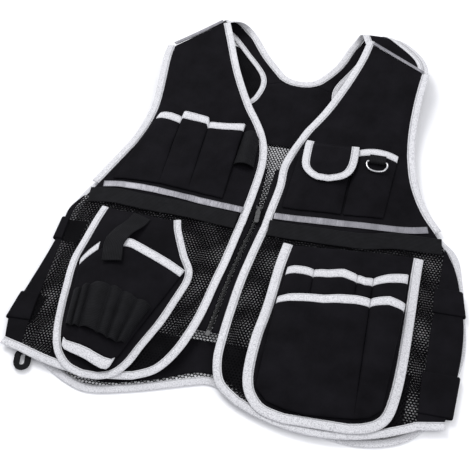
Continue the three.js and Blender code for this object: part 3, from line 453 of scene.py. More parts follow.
def lengths(points):
    """Distances in millimetres along the rows and across the columns of a grid of points."""
    down = np.linalg.norm(np.diff(points, axis=0), axis=2)
    side = np.linalg.norm(np.diff(points, axis=1), axis=2)
    u = np.vstack([np.zeros((1, points.shape[1])), np.cumsum(down, axis=0)])
    v = np.hstack([np.zeros((points.shape[0], 1)), np.cumsum(side, axis=1)])
    return np.stack([u, v], axis=-1)


def sheet_piece(name, x, y, surface, middle, half, look, uv, replaces):
    """Closed cloth either side of a middle lift; for panels in SHEETS the cut size is also worked out."""
    top, bottom = surface(x, y, middle + half), surface(x, y, middle - half)
    obj = closed_mesh(name, top, bottom, lengths(top) if uv is None else uv, look, replaces or (name,))
    if name in SHEETS:
        cut_sheet(top)


def cloth(name, grid, surface, low, high, look, extra=0.0, grain=True, replaces=None, pillow=False):
    """Closed cloth over a plan grid. extra is added to both lifts, and grain keeps the weave
    straight across the plan, where trims have it along their own length."""
    middle = np.full(grid.shape[:2], (low + high) / 2) + extra
    half = half_thickness(grid.shape[:2], high - low, pillow)
    sheet_piece(name, grid[:, :, 0], grid[:, :, 1], surface, middle, half, look, grid if grain else None,
                replaces)


def edge_tape(name, path, surface, side, low, high, width=EDGE_TAPE, inset=SEAM_GAP, replaces=None):
    """Folded tape along a path: a strip with a rounded section, a little uneven along its length."""
    across = shares(8)
    grid = beside(path, inset, width, across, side)
    run = np.concatenate([[0], np.cumsum(np.linalg.norm(np.diff(path, axis=0), axis=1))])
    pucker = 0.1 * np.sin(run / 2.3) + 0.14 * np.sin(run / 7.1 + 1)
    extra = pucker[:, None] * np.sin(math.pi * across)[None, :]
    cloth(name, grid, surface, low, high, "binding", extra, False, replaces, True)


# Pockets

WHOLE = (0, 1)


def backing(name, table, steps, columns, width):
    """Cloth between two sides on the front, with edge tape round its outline."""
    left, right = spline(table["left"], steps), spline(table["right"], steps)
    cloth(f"{name}_backing", ruled(left, right, shares(columns, 0.01), shares(steps)), on_front,
          POCKET_BASE, POCKET_BASE + CLOTH, "oxford")
    edge_tape(f"{name}_outline_binding", np.vstack([left, right[::-1]]), on_front, -1, POCKET_BASE,
              POCKET_BASE + EDGE_TAPE_THICKNESS, width)


def bulge_between(seams, t, power):
    """Which gap between seams each share is in, and the sine of the way across it to a power."""
    k = np.clip(np.searchsorted(seams, t), 1, len(seams) - 1)
    near, far = np.array(seams)[k - 1], np.array(seams)[k]
    return k - 1, np.sin(math.pi * np.clip((t - near) / (far - near), 0, 1)) ** power


def pocket(mouth, foot, seams, rises, base, power=0.6, open_share=0.0):
    """Plan and lift of a pocket at shares t across and d down. Between two seams it stands off by
    rise times the sine of the way across to a power, and falls to its foot as a quarter cosine."""
    top, bottom = np.array(mouth) * LENGTH, np.array(foot) * LENGTH

    def plan(t, d):
        return at_shares(top, t) * (1 - d[..., None]) + at_shares(bottom, t) * d[..., None]

    def lift(t, d):
        gap, bulge = bulge_between(seams, t, power)
        fall = open_share + (1 - open_share) * np.cos(0.5 * math.pi * np.clip(d, 0, 1) ** 1.5)
        return base + np.array(rises)[gap] * bulge * fall

    return {"plan": plan, "lift": lift, "seams": seams}


def seamed_shares(shape, t0, t1, each):
    """Shares across a pocket with a row on either side of each seam, so that seams stay sharp."""
    stops = [s for s in shape["seams"] if t0 < s < t1]
    marks = [t0, *stops, t1]
    parts = []
    for a, b in zip(marks[:-1], marks[1:]):
        count = max(4, round(each * (b - a)))
        parts.append(a + (b - a) * (1 - np.cos(np.linspace(0, math.pi, count + 1)[:-1])) / 2)
    return np.concatenate([*parts, [t1]])


def pocket_part(name, shape, look, span=WHOLE, drop=WHOLE, thickness=CLOTH, down=24, each=60, slump=0.0,
                pillow=False):
    """Closed cloth over part of a pocket; slump adds soft dents that fade at seams and rims."""
    t = seamed_shares(shape, *span, each)
    d = drop[0] + (drop[1] - drop[0]) * (shares(8) if pillow else shares(down, 0.02))
    tt, dd = np.meshgrid(t, d, indexing="ij")
    plan = shape["plan"](tt, dd)
    lift = shape["lift"](tt, dd)
    x, y = plan[:, :, 0], plan[:, :, 1]
    stand = lift - lift.min()
    dent = slump * waves(x, y, 34, len(name)) * np.clip(stand / 5, 0, 1) * smooth(0, 0.14, dd)
    half = half_thickness(lift.shape, thickness, pillow)
    uv = None if pillow else plan
    sheet_piece(name, x, y, on_front, thickness / 2 + lift + dent, half, look, uv, None)


def mouth_tape(name, shape, length, span=WHOLE, width=MOUTH_TAPE):
    """Edge tape above a pocket's mouth, following its bulge."""
    pocket_part(name, shape, "binding", span, (-width / length, -SEAM_GAP / length),
                EDGE_TAPE_THICKNESS, each=70, pillow=True)


# Materials, all procedural, in millimetres of cloth from the pieces' own UV layer

class Graph:
    """A material's node tree with short ways to add and join nodes."""

    def __init__(self, name):
        self.material = bpy.data.materials.new(name)
        self.material.use_nodes = True
        self.tree = self.material.node_tree
        self.tree.nodes.clear()
        self.output = self.add("ShaderNodeOutputMaterial")
        self.shader = self.add("ShaderNodeBsdfPrincipled")
        self.join(self.shader.outputs[0], self.output.inputs[0])

    def add(self, kind, **settings):
        node = self.tree.nodes.new(kind)
        for key, value in settings.items():
            setattr(node, key, value)
        return node

    def join(self, source, target):
        self.tree.links.new(source, target)

    def put(self, value, target):
        if isinstance(value, (int, float, tuple)):
            target.default_value = value
        else:
            self.join(value, target)

    def math(self, operation, a, b=0.0, c=0.0):
        node = self.add("ShaderNodeMath", operation=operation)
        for value, target in zip((a, b, c), node.inputs):
            self.put(value, target)
        return node.outputs[0]

    def times(self, a, b):
        return self.math("MULTIPLY", a, b)

    def less(self, a, b):
        return self.math("LESS_THAN", a, b)

    def minus(self, a, b):
        return self.math("SUBTRACT", a, b)

    def cloth_mm(self):
        """Across and along positions on the cloth, in millimetres."""
        source = self.add("ShaderNodeUVMap", uv_map="cloth")
        split = self.add("ShaderNodeSeparateXYZ")
        self.join(source.outputs[0], split.inputs[0])
        return self.times(split.outputs[0], 1000), self.times(split.outputs[1], 1000)

    def object_mm(self):
        """The same in the object's own plan, for pieces without a cloth layer."""
        split = self.add("ShaderNodeSeparateXYZ")
        self.join(self.add("ShaderNodeTexCoord").outputs["Object"], split.inputs[0])
        return self.times(split.outputs[1], 1000), self.times(split.outputs[0], 1000)

    def noise(self, scale, detail=3.0, rough=0.5, stretch=None):
        """Noise on the object's own coordinates, scale in cells a metre."""
        place = self.add("ShaderNodeTexCoord")
        source = place.outputs["Object"]
        if stretch:
            scaled = self.add("ShaderNodeVectorMath", operation="MULTIPLY")
            self.join(source, scaled.inputs[0])
            scaled.inputs[1].default_value = stretch
            source = scaled.outputs[0]
        node = self.add("ShaderNodeTexNoise")
        self.join(source, node.inputs["Vector"])
        for key, value in (("Scale", scale), ("Detail", detail), ("Roughness", rough)):
            node.inputs[key].default_value = value
        return node.outputs["Fac"]

    def ramp(self, value, *stops):
        node = self.add("ShaderNodeValToRGB")
        self.put(value, node.inputs[0])
        for element, (place, colour) in zip(node.color_ramp.elements, (stops[0], stops[-1])):
            element.position = place
            element.color = (*colour, 1)
        for place, colour in stops[1:-1]:
            element = node.color_ramp.elements.new(place)
            element.color = (*colour, 1)
        return node.outputs[0]

    def mix(self, factor, a, b):
        node = self.add("ShaderNodeMix", data_type="RGBA")
        self.put(factor, node.inputs[0])
        for value, target in ((a, node.inputs[6]), (b, node.inputs[7])):
            self.put((*value, 1) if isinstance(value, tuple) else value, target)
        return node.outputs[2]

    def bump(self, height, distance, strength=1.0, below=None):
        node = self.add("ShaderNodeBump")
        node.inputs["Strength"].default_value = strength
        node.inputs["Distance"].default_value = distance / 1000
        self.put(height, node.inputs["Height"])
        if below is not None:
            self.join(below, node.inputs["Normal"])
        return node.outputs[0]

    def wave(self, position, pitch):
        """Sine of a position in millimetres, from 0 to 1, once every pitch."""
        turned = self.math("SINE", self.times(position, 2 * math.pi / pitch))
        return self.math("MULTIPLY_ADD", turned, 0.5, 0.5)

    def stitches(self, u, v, line, half, pitch, filled):
        """Masks of a sewn line along u at v = line: its stitches, and the gaps between them."""
        near = self.less(self.math("ABSOLUTE", self.minus(v, line)), half)
        dash = self.less(self.math("FRACT", self.math("DIVIDE", u, pitch)), filled)
        return self.times(near, dash), self.times(near, self.minus(1.0, dash))

    def finish(self, colour, roughness, normal=None, metallic=0.0, sheen=0.0, tint=(1, 1, 1), specular=0.5):
        shader = self.shader.inputs
        self.put((*colour, 1) if isinstance(colour, tuple) else colour, shader["Base Color"])
        self.put(roughness, shader["Roughness"])
        settings = {"Metallic": metallic, "Sheen Weight": sheen, "Sheen Roughness": 0.45,
                    "Sheen Tint": (*tint, 1), "Specular IOR Level": specular}
        for key, value in settings.items():
            shader[key].default_value = value
        if normal is not None:
            self.join(normal, shader["Normal"])
        return self.material


def woven_nylon():
    """Matt black oxford: basket weave, soft rumples and a faint purple-grey sheen, with a painted highlight
    that makes the raised weave lighter.
    """
    g = Graph("woven_nylon")
    u, v = g.cloth_mm()
    weave = g.times(g.wave(u, 1.3), g.wave(v, 1.3))
    rumple = g.bump(g.noise(34, 4, 0.6, stretch=(1, 0.55, 1)), 2.6, 0.9)
    normal = g.bump(weave, 0.1, 0.6, below=g.bump(g.noise(150, 2), 0.25, 0.6, below=rumple))
    worn = g.ramp(g.noise(26, 4, 0.6), (0.32, (0.0026, 0.0024, 0.0031)), (0.72, (0.0062, 0.0058, 0.0074)))
    # painted highlight: the colour is lighter where the weave bump stands highest
    colour = g.mix(g.times(weave, 0.35), worn, (0.011, 0.01, 0.013))
    return g.finish(colour, 0.7, normal, sheen=0.008, tint=(0.75, 0.7, 0.85), specular=0.03)


def open_mesh(name, pitch, hole, closes_at=1000):
    """Black knitted net: rows of round holes set brick-wise, cut through, with thick rims. Past
    closes_at, in millimetres up the back, a second layer leaves the holes small."""
    g = Graph(name)
    u, v = g.cloth_mm()
    row = g.math("DIVIDE", v, pitch * 0.86)
    shift = g.times(g.math("MODULO", g.math("FLOOR", row), 2), 0.5)
    x = g.minus(g.math("FRACT", g.math("ADD", g.math("DIVIDE", u, pitch), shift)), 0.5)
    y = g.times(g.minus(g.math("FRACT", row), 0.5), 0.86)
    away = g.math("SQRT", g.math("ADD", g.times(x, x), g.times(y, y)))
    single = g.less(g.object_mm()[0], closes_at)
    radius = hole / pitch / 2
    inside = g.less(away, g.math("MULTIPLY_ADD", single, 0.56 * radius, 0.44 * radius))
    normal = g.bump(g.math("SMOOTH_MIN", away, 0.42, 0.1), 0.5, 0.9, below=g.bump(g.noise(38, 3), 1.2, 0.6))
    colour = g.ramp(g.noise(60, 3), (0.3, (0.0026, 0.0025, 0.003)), (0.75, (0.0062, 0.006, 0.007)))
    g.finish(colour, 0.75, normal, sheen=0.006, tint=(0.8, 0.78, 0.9), specular=0.03)
    clear = g.add("ShaderNodeBsdfTransparent")
    mixed = g.add("ShaderNodeMixShader")
    g.join(inside, mixed.inputs[0])
    g.join(g.shader.outputs[0], mixed.inputs[1])
    g.join(clear.outputs[0], mixed.inputs[2])
    g.join(mixed.outputs[0], g.output.inputs[0])
    return g.material


def heather_tape():
    """Light grey edge tape: ribs across, dark flecks, a line of stitches near one side."""
    g = Graph("heather_tape")
    u, v = g.cloth_mm()
    rib = g.wave(u, 1.15)
    fleck = g.noise(760, 2, 0.6)
    base = g.ramp(fleck, (0.34, (0.34, 0.34, 0.36)), (0.46, (0.55, 0.55, 0.57)), (0.7, (0.72, 0.72, 0.74)))
    soiled = g.mix(g.times(g.noise(14, 3), 0.32), base, (0.36, 0.355, 0.37))
    stitch, shaded_groove = g.stitches(u, v, 2.0, 0.42, 2.9, 0.68)
    # painted shade: the gaps between stitches, pressed down by the bump below, are painted darker
    colour = g.mix(stitch, g.mix(g.times(shaded_groove, 0.6), soiled, (0.16, 0.16, 0.17)), (0.3, 0.3, 0.315))
    valley = g.bump(g.math("ADD", g.times(rib, 0.5), g.times(fleck, 0.7)), 0.25, 0.7)
    normal = g.bump(g.minus(stitch, shaded_groove), 0.3, 0.8, below=valley)
    return g.finish(colour, 0.88, normal, sheen=0.25, specular=0.25)


def ribbed_webbing(own_place=False):
    """Black webbing: a row of fine ribs along it, crossed by the weft, with painted shade darkening the
    valleys between the ribs.
    """
    g = Graph("ribbed_webbing")
    u, v = g.object_mm() if own_place else g.cloth_mm()
    ribs = g.times(g.wave(v, 2.1), g.math("MULTIPLY_ADD", g.wave(u, 1.5), 0.5, 0.5))
    normal = g.bump(ribs, 0.35, 0.9, below=g.bump(g.noise(60, 3), 0.5, 0.5))
    # painted shade: the colour follows the rib relief, darker in the valleys and lighter on the rib tops,
    # varied by noise
    painted_rib_shade = g.times(ribs, g.noise(90, 3))
    colour = g.ramp(painted_rib_shade, (0.05, (0.0035, 0.0035, 0.004)), (0.55, (0.012, 0.012, 0.014)))
    return g.finish(colour, 0.66, normal, sheen=0.01, tint=(0.85, 0.85, 0.95), specular=0.06)


def reflective_tape():
    """Silver-grey tape of tiny beads with a stitched line near each side."""
    g = Graph("reflective_tape")
    u, v = g.cloth_mm()
    bead = g.noise(900, 1, 0.4)
    base = g.ramp(bead, (0.3, (0.17, 0.167, 0.185)), (0.7, (0.25, 0.246, 0.272)))
    pleat = g.noise(75, 3, 0.6, stretch=(1, 0.25, 1))
    # darker where the pleat relief stands high, from the same noise that bumps the pleats
    darker_on_pleats = g.mix(g.ramp(pleat, (0.42, (0, 0, 0)), (0.62, (0.55, 0.55, 0.55))), base, (0.12, 0.118, 0.132))
    stitch = g.stitches(u, g.math("PINGPONG", v, TAPE / 2), 1.2, 0.3, 2.6, 0.65)[0]
    colour = g.mix(stitch, darker_on_pleats, (0.12, 0.12, 0.13))
    normal = g.bump(g.math("MULTIPLY_ADD", stitch, -0.6, bead), 0.12, 0.6, below=g.bump(pleat, 1.8, 0.9))
    return g.finish(colour, 0.42, normal, metallic=0.35, specular=0.6)


def nylon_zip():
    """Black moulded nylon with slight gloss and dusty valleys."""
    g = Graph("nylon_zip")
    colour = g.ramp(g.noise(300, 3), (0.3, (0.003, 0.003, 0.0035)), (0.8, (0.01, 0.01, 0.011)))
    return g.finish(colour, 0.5, g.bump(g.noise(700, 2), 0.08, 0.5), specular=0.25)


def worn_nickel():
    """Nickel plate with fine scratches and duller patches."""
    g = Graph("worn_nickel")
    dull = g.noise(180, 4, 0.6)
    scratch = g.noise(900, 2, 0.6, stretch=(1, 9, 1))
    colour = g.ramp(dull, (0.3, (0.42, 0.42, 0.43)), (0.7, (0.68, 0.68, 0.69)))
    rough = g.math("MULTIPLY_ADD", dull, 0.22, 0.18)
    return g.finish(colour, rough, g.bump(scratch, 0.04, 0.5), metallic=1.0)


def black_paint():
    """Shiny black paint on a cast part, rubbed a little on its edges."""
    g = Graph("black_paint")
    rub = g.noise(420, 3, 0.6)
    colour = g.ramp(rub, (0.35, (0.01, 0.01, 0.011)), (0.8, (0.035, 0.035, 0.037)))
    return g.finish(colour, g.math("MULTIPLY_ADD", rub, 0.2, 0.2), g.bump(rub, 0.05, 0.4), specular=0.6)


MATERIALS = {
    "oxford": woven_nylon(),
    "mesh": open_mesh("front_net", 3.9, 2.9),
    "mesh:back": open_mesh("back_net", 4.2, 3.6, 150),
    "binding": heather_tape(),
    "webbing": ribbed_webbing(),
    "reflective": reflective_tape(),
    "zip": nylon_zip(),
    "zip:tape": woven_nylon(),
    "metal": worn_nickel(),
}
MATERIALS["plain:zip_metal"] = black_paint()
MATERIALS["plain:webbing"] = ribbed_webbing(True)


# Fronts, from the shoulder seams down to the hem

LIP = 0.012
TAPE_LOW = -0.5
TAPE_HIGH = TAPE_LOW + EDGE_TAPE_THICKNESS
PIPING_WIDTH, PIPING_HEIGHT = 5, 1.6
ZIP_LOW = -1.8

for side_name, front in FRONTS.items():
    sign = front["side"]
    front_edge = spline(front["frontEdge"], 120)
    armhole = spline(front["armhole"], 120)
    lower_edge = spline(front["lowerEdge"], 110)
    side_seam = spline(front["sideSeam"], 110)
    side_edge = spline(front["sideEdge"], 110) + [sign * SEAM_GAP, 0]
    seam = side_seam + [sign * SEAM_GAP, 0]
    sag = LENGTH * front["hemSag"]
    across, down = shares(56, LIP / 2), shares(110, LIP / 2)
    lower = ruled(lower_edge, side_seam, across, down, sag)
    narrow = shares(10, LIP * 3)
    side = ruled(seam, side_edge, narrow, down)
    cloth(f"{side_name}_chest_panel", ruled(front_edge, armhole, across, shares(120, LIP / 2)),
          on_front, 0, CLOTH, "oxford")
    cloth(f"{side_name}_lower_mesh", lower, on_front, 0, CLOTH, "mesh")
    cloth(f"{side_name}_side_panel", side, on_front, 0, CLOTH, "oxford")
    hem = np.vstack([lower[-1, 2:-1], side[-1, 1:]])
    edge = np.vstack([front_edge, lower_edge[1:], hem])
    if side_name == "left":
        edge = np.vstack([[[0.2257 * WIDTH, 0.697 * LENGTH]], edge])
    edge_tape(f"{side_name}_front_binding", edge, on_front, -sign, TAPE_LOW, TAPE_HIGH)
    edge_tape(f"{side_name}_armhole_binding", armhole[:-10], on_front, sign, TAPE_LOW, TAPE_HIGH)
    waist = beside(spline(front["waist"], 110), -WEBBING / 2, WEBBING, shares(20, 0.04))
    cloth(f"{side_name}_waist_webbing", waist, on_front, POCKET_BASE, POCKET_BASE + WEBBING_THICKNESS,
          "webbing", grain=False)
    band = beside(spline(front["tape"], 110), -TAPE / 2, TAPE, shares(12, 0.05))
    cloth(f"{side_name}_reflective_tape", band, on_front, POCKET_BASE, POCKET_BASE + TAPE_THICKNESS,
          "reflective", grain=False)
    ends = np.array(PIPING[side_name])
    ends[[0, -1]] += 0.12 * (ends[[0, -1]] - ends[1])
    seam_path = spline(ends, 40)
    cloth(f"{side_name}_shoulder_piping", beside(seam_path, -PIPING_WIDTH / 2, PIPING_WIDTH, shares(8)),
          on_front, ON_CLOTH, ON_CLOTH + PIPING_HEIGHT, "reflective", grain=False, pillow=True)
    tape_grid = ruled(spline(ZIP_TAPES[side_name]["outer"], 80), spline(ZIP_TAPES[side_name]["inner"], 80),
                      shares(8), shares(80))
    cloth(f"{side_name}_zip_tape", tape_grid, on_front, ZIP_LOW, ZIP_LOW / 2, "zip:tape", grain=False)


# Back: the net, its edge tape and hem band, and the yoke with its two straps

def patch(top, bottom, first, last):
    """Grid between four edges: the sum of the two rulings less the corner blend."""
    v = np.linspace(0, 1, len(first))[:, None, None]
    u = np.linspace(0, 1, len(top))[None, :, None]
    ruled_across = first[:, None] * (1 - u) + last[:, None] * u
    ruled_down = top[None] * (1 - v) + bottom[None] * v
    corners = (first[0] * (1 - u) + last[0] * u) * (1 - v) + (first[-1] * (1 - u) + last[-1] * u) * v
    return ruled_across + ruled_down - corners


back_top, back_hem = spline(BACK["top"], 120), spline(BACK["hem"], 120)
back_right, back_left = spline(BACK["right"], 120), spline(BACK["left"], 120)
cloth("back_mesh", patch(back_top, back_hem, back_right, back_left), on_back, 0, CLOTH, "mesh:back")
back_edge = np.vstack([back_right, back_hem[1:-1], back_left[::-1]])
edge_tape("back_binding", back_edge, on_back, -1, 0, EDGE_TAPE_THICKNESS)
hem_top = spline([[-0.42, -0.37], [-0.2, -0.372], [0, -0.372], [0.2, -0.374], [0.44, -0.37]], 80)
hem_bottom = spline([[-0.41, -0.482], [-0.286, -0.526], [-0.16, -0.5],
                     [-0.03, -0.456], [0.1, -0.508], [0.24, -0.534], [0.43, -0.51]], 80)
cloth("back_hem_band", ruled(hem_top, hem_bottom, shares(12, 0.02), shares(80)), on_back,
      ON_CLOTH, ON_BACKING - SEAM_GAP, "oxford")

YOKE_LOW, YOKE_HIGH = ON_CLOTH, ON_BACKING - SEAM_GAP
yoke_top = at_shares(np.array(YOKE_TOP) * LENGTH, shares(84))
yoke_foot = np.column_stack([yoke_top[:, 0], np.full(len(yoke_top), 0.282 * LENGTH)])
cloth("back_yoke", ruled(yoke_top, yoke_foot, shares(24, 0.01), shares(84)), on_back,
      YOKE_LOW, YOKE_HIGH, "oxford")
for side_name, rows in STRAPS.items():
    arm, neck = (np.array(rows)[:, k] * LENGTH for k in (0, 1))
    grid = soften(ruled(arm, neck, shares(8, 0.06), shares(89)), 5)
    cloth(f"{side_name}_yoke_strap", grid, on_back, YOKE_LOW, YOKE_HIGH, "oxford", replaces=("back_yoke",))
    root = YOKE_TOP[:5] if side_name == "right" else YOKE_TOP[-5:][::-1]
    path = soften(at_shares(np.array([*root, *[row[0] for row in rows]]) * LENGTH, shares(149)), 5)
    edge_tape(f"{side_name}_yoke_binding", path, on_back, 1 if side_name == "right" else -1,
              YOKE_LOW, YOKE_HIGH + SEAM_GAP, 8)
    if side_name == "left":
        over = path[len(path) * 3 // 5:]
        edge_tape("left_shoulder_edge", over, on_back, 1, YOKE_LOW - 1.6, YOKE_LOW - 0.1, 7, 0,
                  ("left_yoke_binding",))
neck_points = np.array([*[row[1] for row in STRAPS["right"]][::-1], YOKE_TOP[7],
                        *[row[1] for row in STRAPS["left"]]]) * LENGTH
neck_path = soften(at_shares(neck_points, shares(239)), 7)
edge_tape("neck_binding", neck_path, on_back, 1, YOKE_LOW, YOKE_HIGH + SEAM_GAP)


# Chest pockets

RIGHT_CHEST = pocket(
    [[-0.337, 0.284], [-0.32, 0.287], [-0.3, 0.286], [-0.284, 0.283], [-0.267, 0.28],
     [-0.263, 0.296], [-0.228, 0.293], [-0.193, 0.29], [-0.188, 0.278], [-0.166, 0.276],
     [-0.14, 0.278], [-0.114, 0.282], [-0.09, 0.288]],
    [[-0.402, 0.066], [-0.372, 0.068], [-0.34, 0.068], [-0.306, 0.067], [-0.276, 0.066],
     [-0.27, 0.066], [-0.234, 0.063], [-0.2, 0.06], [-0.195, 0.059], [-0.172, 0.056],
     [-0.148, 0.053], [-0.124, 0.051], [-0.1, 0.048]],
    [0, 1 / 3, 2 / 3, 1], [4.6, 5.5, 5.5], POCKET_BASE, 0.22)
pocket_part("right_chest_pockets", RIGHT_CHEST, "oxford", slump=0.9, each=90)
mouth_tape("right_chest_pocket_binding", RIGHT_CHEST, 0.22 * LENGTH)

CHEST_LOOP = pocket([[-0.086, 0.286], [-0.062, 0.286], [-0.042, 0.272]],
                    [[-0.094, 0.166], [-0.066, 0.166], [-0.038, 0.166]], [0, 1], [8], POCKET_BASE,
                    open_share=1)
pocket_part("right_chest_loop", CHEST_LOOP, "webbing", each=30)

FLAP_POCKET = pocket([[0.076, 0.256], [0.11, 0.258], [0.15, 0.258], [0.19, 0.256], [0.22, 0.254]],
                     [[0.06, 0.05], [0.1, 0.05], [0.14, 0.052], [0.18, 0.054], [0.212, 0.056]],
                     [0, 1], [FLAP_POCKET_RISE], POCKET_BASE, 0.6)
pocket_part("left_flap_pocket", FLAP_POCKET, "oxford", slump=0.8)
SLIM_POCKET = pocket([[0.226, 0.254], [0.25, 0.256], [0.28, 0.258], [0.31, 0.258], [0.338, 0.256]],
                     [[0.219, 0.056], [0.242, 0.058], [0.27, 0.06], [0.296, 0.062], [0.322, 0.064]],
                     [0, 1], [7], POCKET_BASE, 0.6)
pocket_part("left_slim_pocket", SLIM_POCKET, "oxford", slump=0.35)
mouth_tape("left_slim_pocket_binding", SLIM_POCKET, 0.2 * LENGTH)

flap_lift = FLAP_POCKET_RISE + POCKET_BASE + CLOTH + 2 * SEAM_GAP


def on_flap(x, y, lift):
    """The flap leaves the cloth at its hinge and lies over the pocket below."""
    rise = POCKET_BASE + (flap_lift - POCKET_BASE) * (1 - smooth(LENGTH * 0.262, LENGTH * 0.292, y))
    return on_front(x, y, rise + lift)


flap_sides = [spline([[x + sign * half, y] for (x, y), half in zip(FLAP["axis"], FLAP["half"])], 60)
              for sign in (-1, 1)]
cloth("left_flap", ruled(*flap_sides, shares(24, 0.02), shares(60)), on_flap, 0, CLOTH, "oxford")
flap_path = np.vstack([flap_sides[0], flap_sides[1][::-1]])
edge_tape("left_flap_binding", flap_path, on_flap, -1, 0, EDGE_TAPE_THICKNESS)


# Drill holster on the right

backing("holster", HOLSTER, 80, 40, EDGE_TAPE - 1)
HOLSTER_FRONT = pocket(
    [[-0.408, -0.232], [-0.39, -0.212], [-0.368, -0.19], [-0.344, -0.176], [-0.32, -0.172],
     [-0.29, -0.172], [-0.25, -0.186], [-0.2, -0.204], [-0.152, -0.222]],
    [[-0.39, -0.438], [-0.374, -0.452], [-0.356, -0.456], [-0.336, -0.46], [-0.314, -0.466],
     [-0.292, -0.474], [-0.272, -0.48], [-0.256, -0.48], [-0.244, -0.468]],
    [0, 1], [HOLSTER_RISE], FRONT_BASE, open_share=0.6)
HOLSTER_LENGTH = 0.27 * LENGTH
pocket_part("holster_front", HOLSTER_FRONT, "oxford", down=40, each=80, slump=0.8)
mouth_tape("holster_mouth_binding_outer", HOLSTER_FRONT, HOLSTER_LENGTH, (0, 2 / 8), MOUTH_TAPE + 1)
mouth_tape("holster_mouth_binding_inner", HOLSTER_FRONT, HOLSTER_LENGTH, (4 / 8, 1))
pocket_part("holster_foot_binding", HOLSTER_FRONT, "binding", (0.05, 0.95),
            (1 + SEAM_GAP / HOLSTER_LENGTH, 1 + FOOT_TAPE / HOLSTER_LENGTH), EDGE_TAPE_THICKNESS,
            pillow=True, each=80)

stitches = BIT_BAND["loops"]
bit_t = np.unique(np.concatenate([np.linspace(a, b, 15) for a, b in zip(stitches[:-1], stitches[1:])]))
bit_d = BIT_BAND["from"] + (BIT_BAND["to"] - BIT_BAND["from"]) * shares(24, 0.03)
bit_tt, bit_dd = np.meshgrid(bit_t, bit_d, indexing="ij")
bit_bulge = BIT_LOOP_RISE * bulge_between(stitches, bit_tt, 0.7)[1]
bit_lift = HOLSTER_FRONT["lift"](bit_tt, bit_dd) + CLOTH + 2 * SEAM_GAP + bit_bulge
bit_plan = HOLSTER_FRONT["plan"](bit_tt, bit_dd)
cloth("holster_bit_loops", bit_plan, on_front, 0, CLOTH, "webbing", extra=bit_lift)

strap_top = HOLSTER_RISE + FRONT_BASE + CLOTH + EDGE_TAPE_THICKNESS + 1


def on_holster_strap(x, y, lift):
    """The strap rises from under the waist webbing to lie over the bulging mouth."""
    rise = FRONT_BASE + (strap_top - FRONT_BASE) * (1 - smooth(LENGTH * -0.17, LENGTH * -0.06, y))
    return on_front(x, y, rise + lift)


cloth("holster_strap", beside(spline(STRAP_PATH, 70), -WEBBING / 2, WEBBING, shares(16, 0.04)),
      on_holster_strap, 0, WEBBING_THICKNESS, "webbing", grain=False)


# Tool pocket on the left

backing("tool", TOOLS, 90, 50, EDGE_TAPE + 2)
PENS = pocket(
    [[0.104, -0.168], [0.124, -0.164], [0.15, -0.162], [0.172, -0.162], [0.208, -0.16],
     [0.244, -0.152], [0.28, -0.158], [0.3, -0.164], [0.32, -0.16], [0.356, -0.146],
     [0.404, -0.132]],
    [[x, -0.31] for x in (0.094, 0.124, 0.15, 0.172, 0.208, 0.244, 0.28, 0.3, 0.32, 0.356, 0.4)],
    [0, 0.3, 0.6, 0.8, 1], [6, 6, 4.4, 6], FRONT_BASE, 0.32)
pocket_part("pen_pockets", PENS, "oxford", each=90)
mouth_tape("pen_pocket_binding", PENS, 0.15 * LENGTH)
TOOL = pocket(
    [[0.096, -0.26], [0.124, -0.254], [0.164, -0.248], [0.208, -0.244], [0.244, -0.236],
     [0.284, -0.23], [0.32, -0.228], [0.364, -0.216], [0.403, -0.22]],
    [[0.088, -0.484], [0.118, -0.514], [0.164, -0.526], [0.208, -0.53], [0.244, -0.528],
     [0.284, -0.524], [0.32, -0.52], [0.352, -0.512], [0.38, -0.488]],
    [0, 0.75, 1], [9, 8.5], FRONT_BASE + CLOTH + 3 * SEAM_GAP, 0.24)
pocket_part("tool_pockets", TOOL, "oxford", down=50, each=90, slump=1.0)
mouth_tape("tool_pocket_binding", TOOL, 0.28 * LENGTH)


# Side straps: from the front, round the side edge, to the inside of the back

strap_under = EDGE_TAPE_THICKNESS + SEAM_GAP + WEBBING_THICKNESS
bend = (EDGE_RISE + ON_CLOTH - strap_under) / 2
for name, (sign, high, low, start, ends) in SIDE_STRAPS.items():
    high, low = LENGTH * high, LENGTH * low
    y = high + (low - high) * shares(16, 0.03)
    edge_x = WIDTH * np.interp((y - high) / (low - high), [0, 1], ends)
    flat_part = np.linspace(-1, 0, 24)
    round_part = np.linspace(0, math.pi, 14)[1:]
    back_part = math.pi * bend + np.linspace(0, 0.06 * LENGTH, 12)[1:]
    run = edge_x - WIDTH * start
    s = np.concatenate([run[:, None] * flat_part, np.ones((len(y), 1)) * round_part * bend,
                        np.ones((len(y), 1)) * back_part], axis=1)
    levels = []
    thick = half_thickness(s.shape, WEBBING_THICKNESS)
    for lift in (WEBBING_THICKNESS / 2 + thick, WEBBING_THICKNESS / 2 - thick):
        turn = np.clip(s / bend, 0, math.pi)
        flat = np.minimum(s, 0) - np.maximum(s - math.pi * bend, 0)
        radius = bend + lift
        x = sign * (edge_x[:, None] + flat + radius * np.sin(turn))
        yy = y[:, None] * np.ones_like(s)
        over = on_front(x, yy, ON_CLOTH + lift)
        under = np.stack([x, yy, strap_under + bend + radius * np.cos(turn)], axis=-1)
        settle = smooth(-14, 0, s)[..., None]
        levels.append(np.where(s[..., None] < 0, over * (1 - settle) + under * settle, under))
    closed_mesh(f"{name}_strap", levels[0], levels[1], lengths(levels[0]), "oxford", (f"{name}_strap",))


# Zip teeth: a row of small moulded teeth with rounded tops

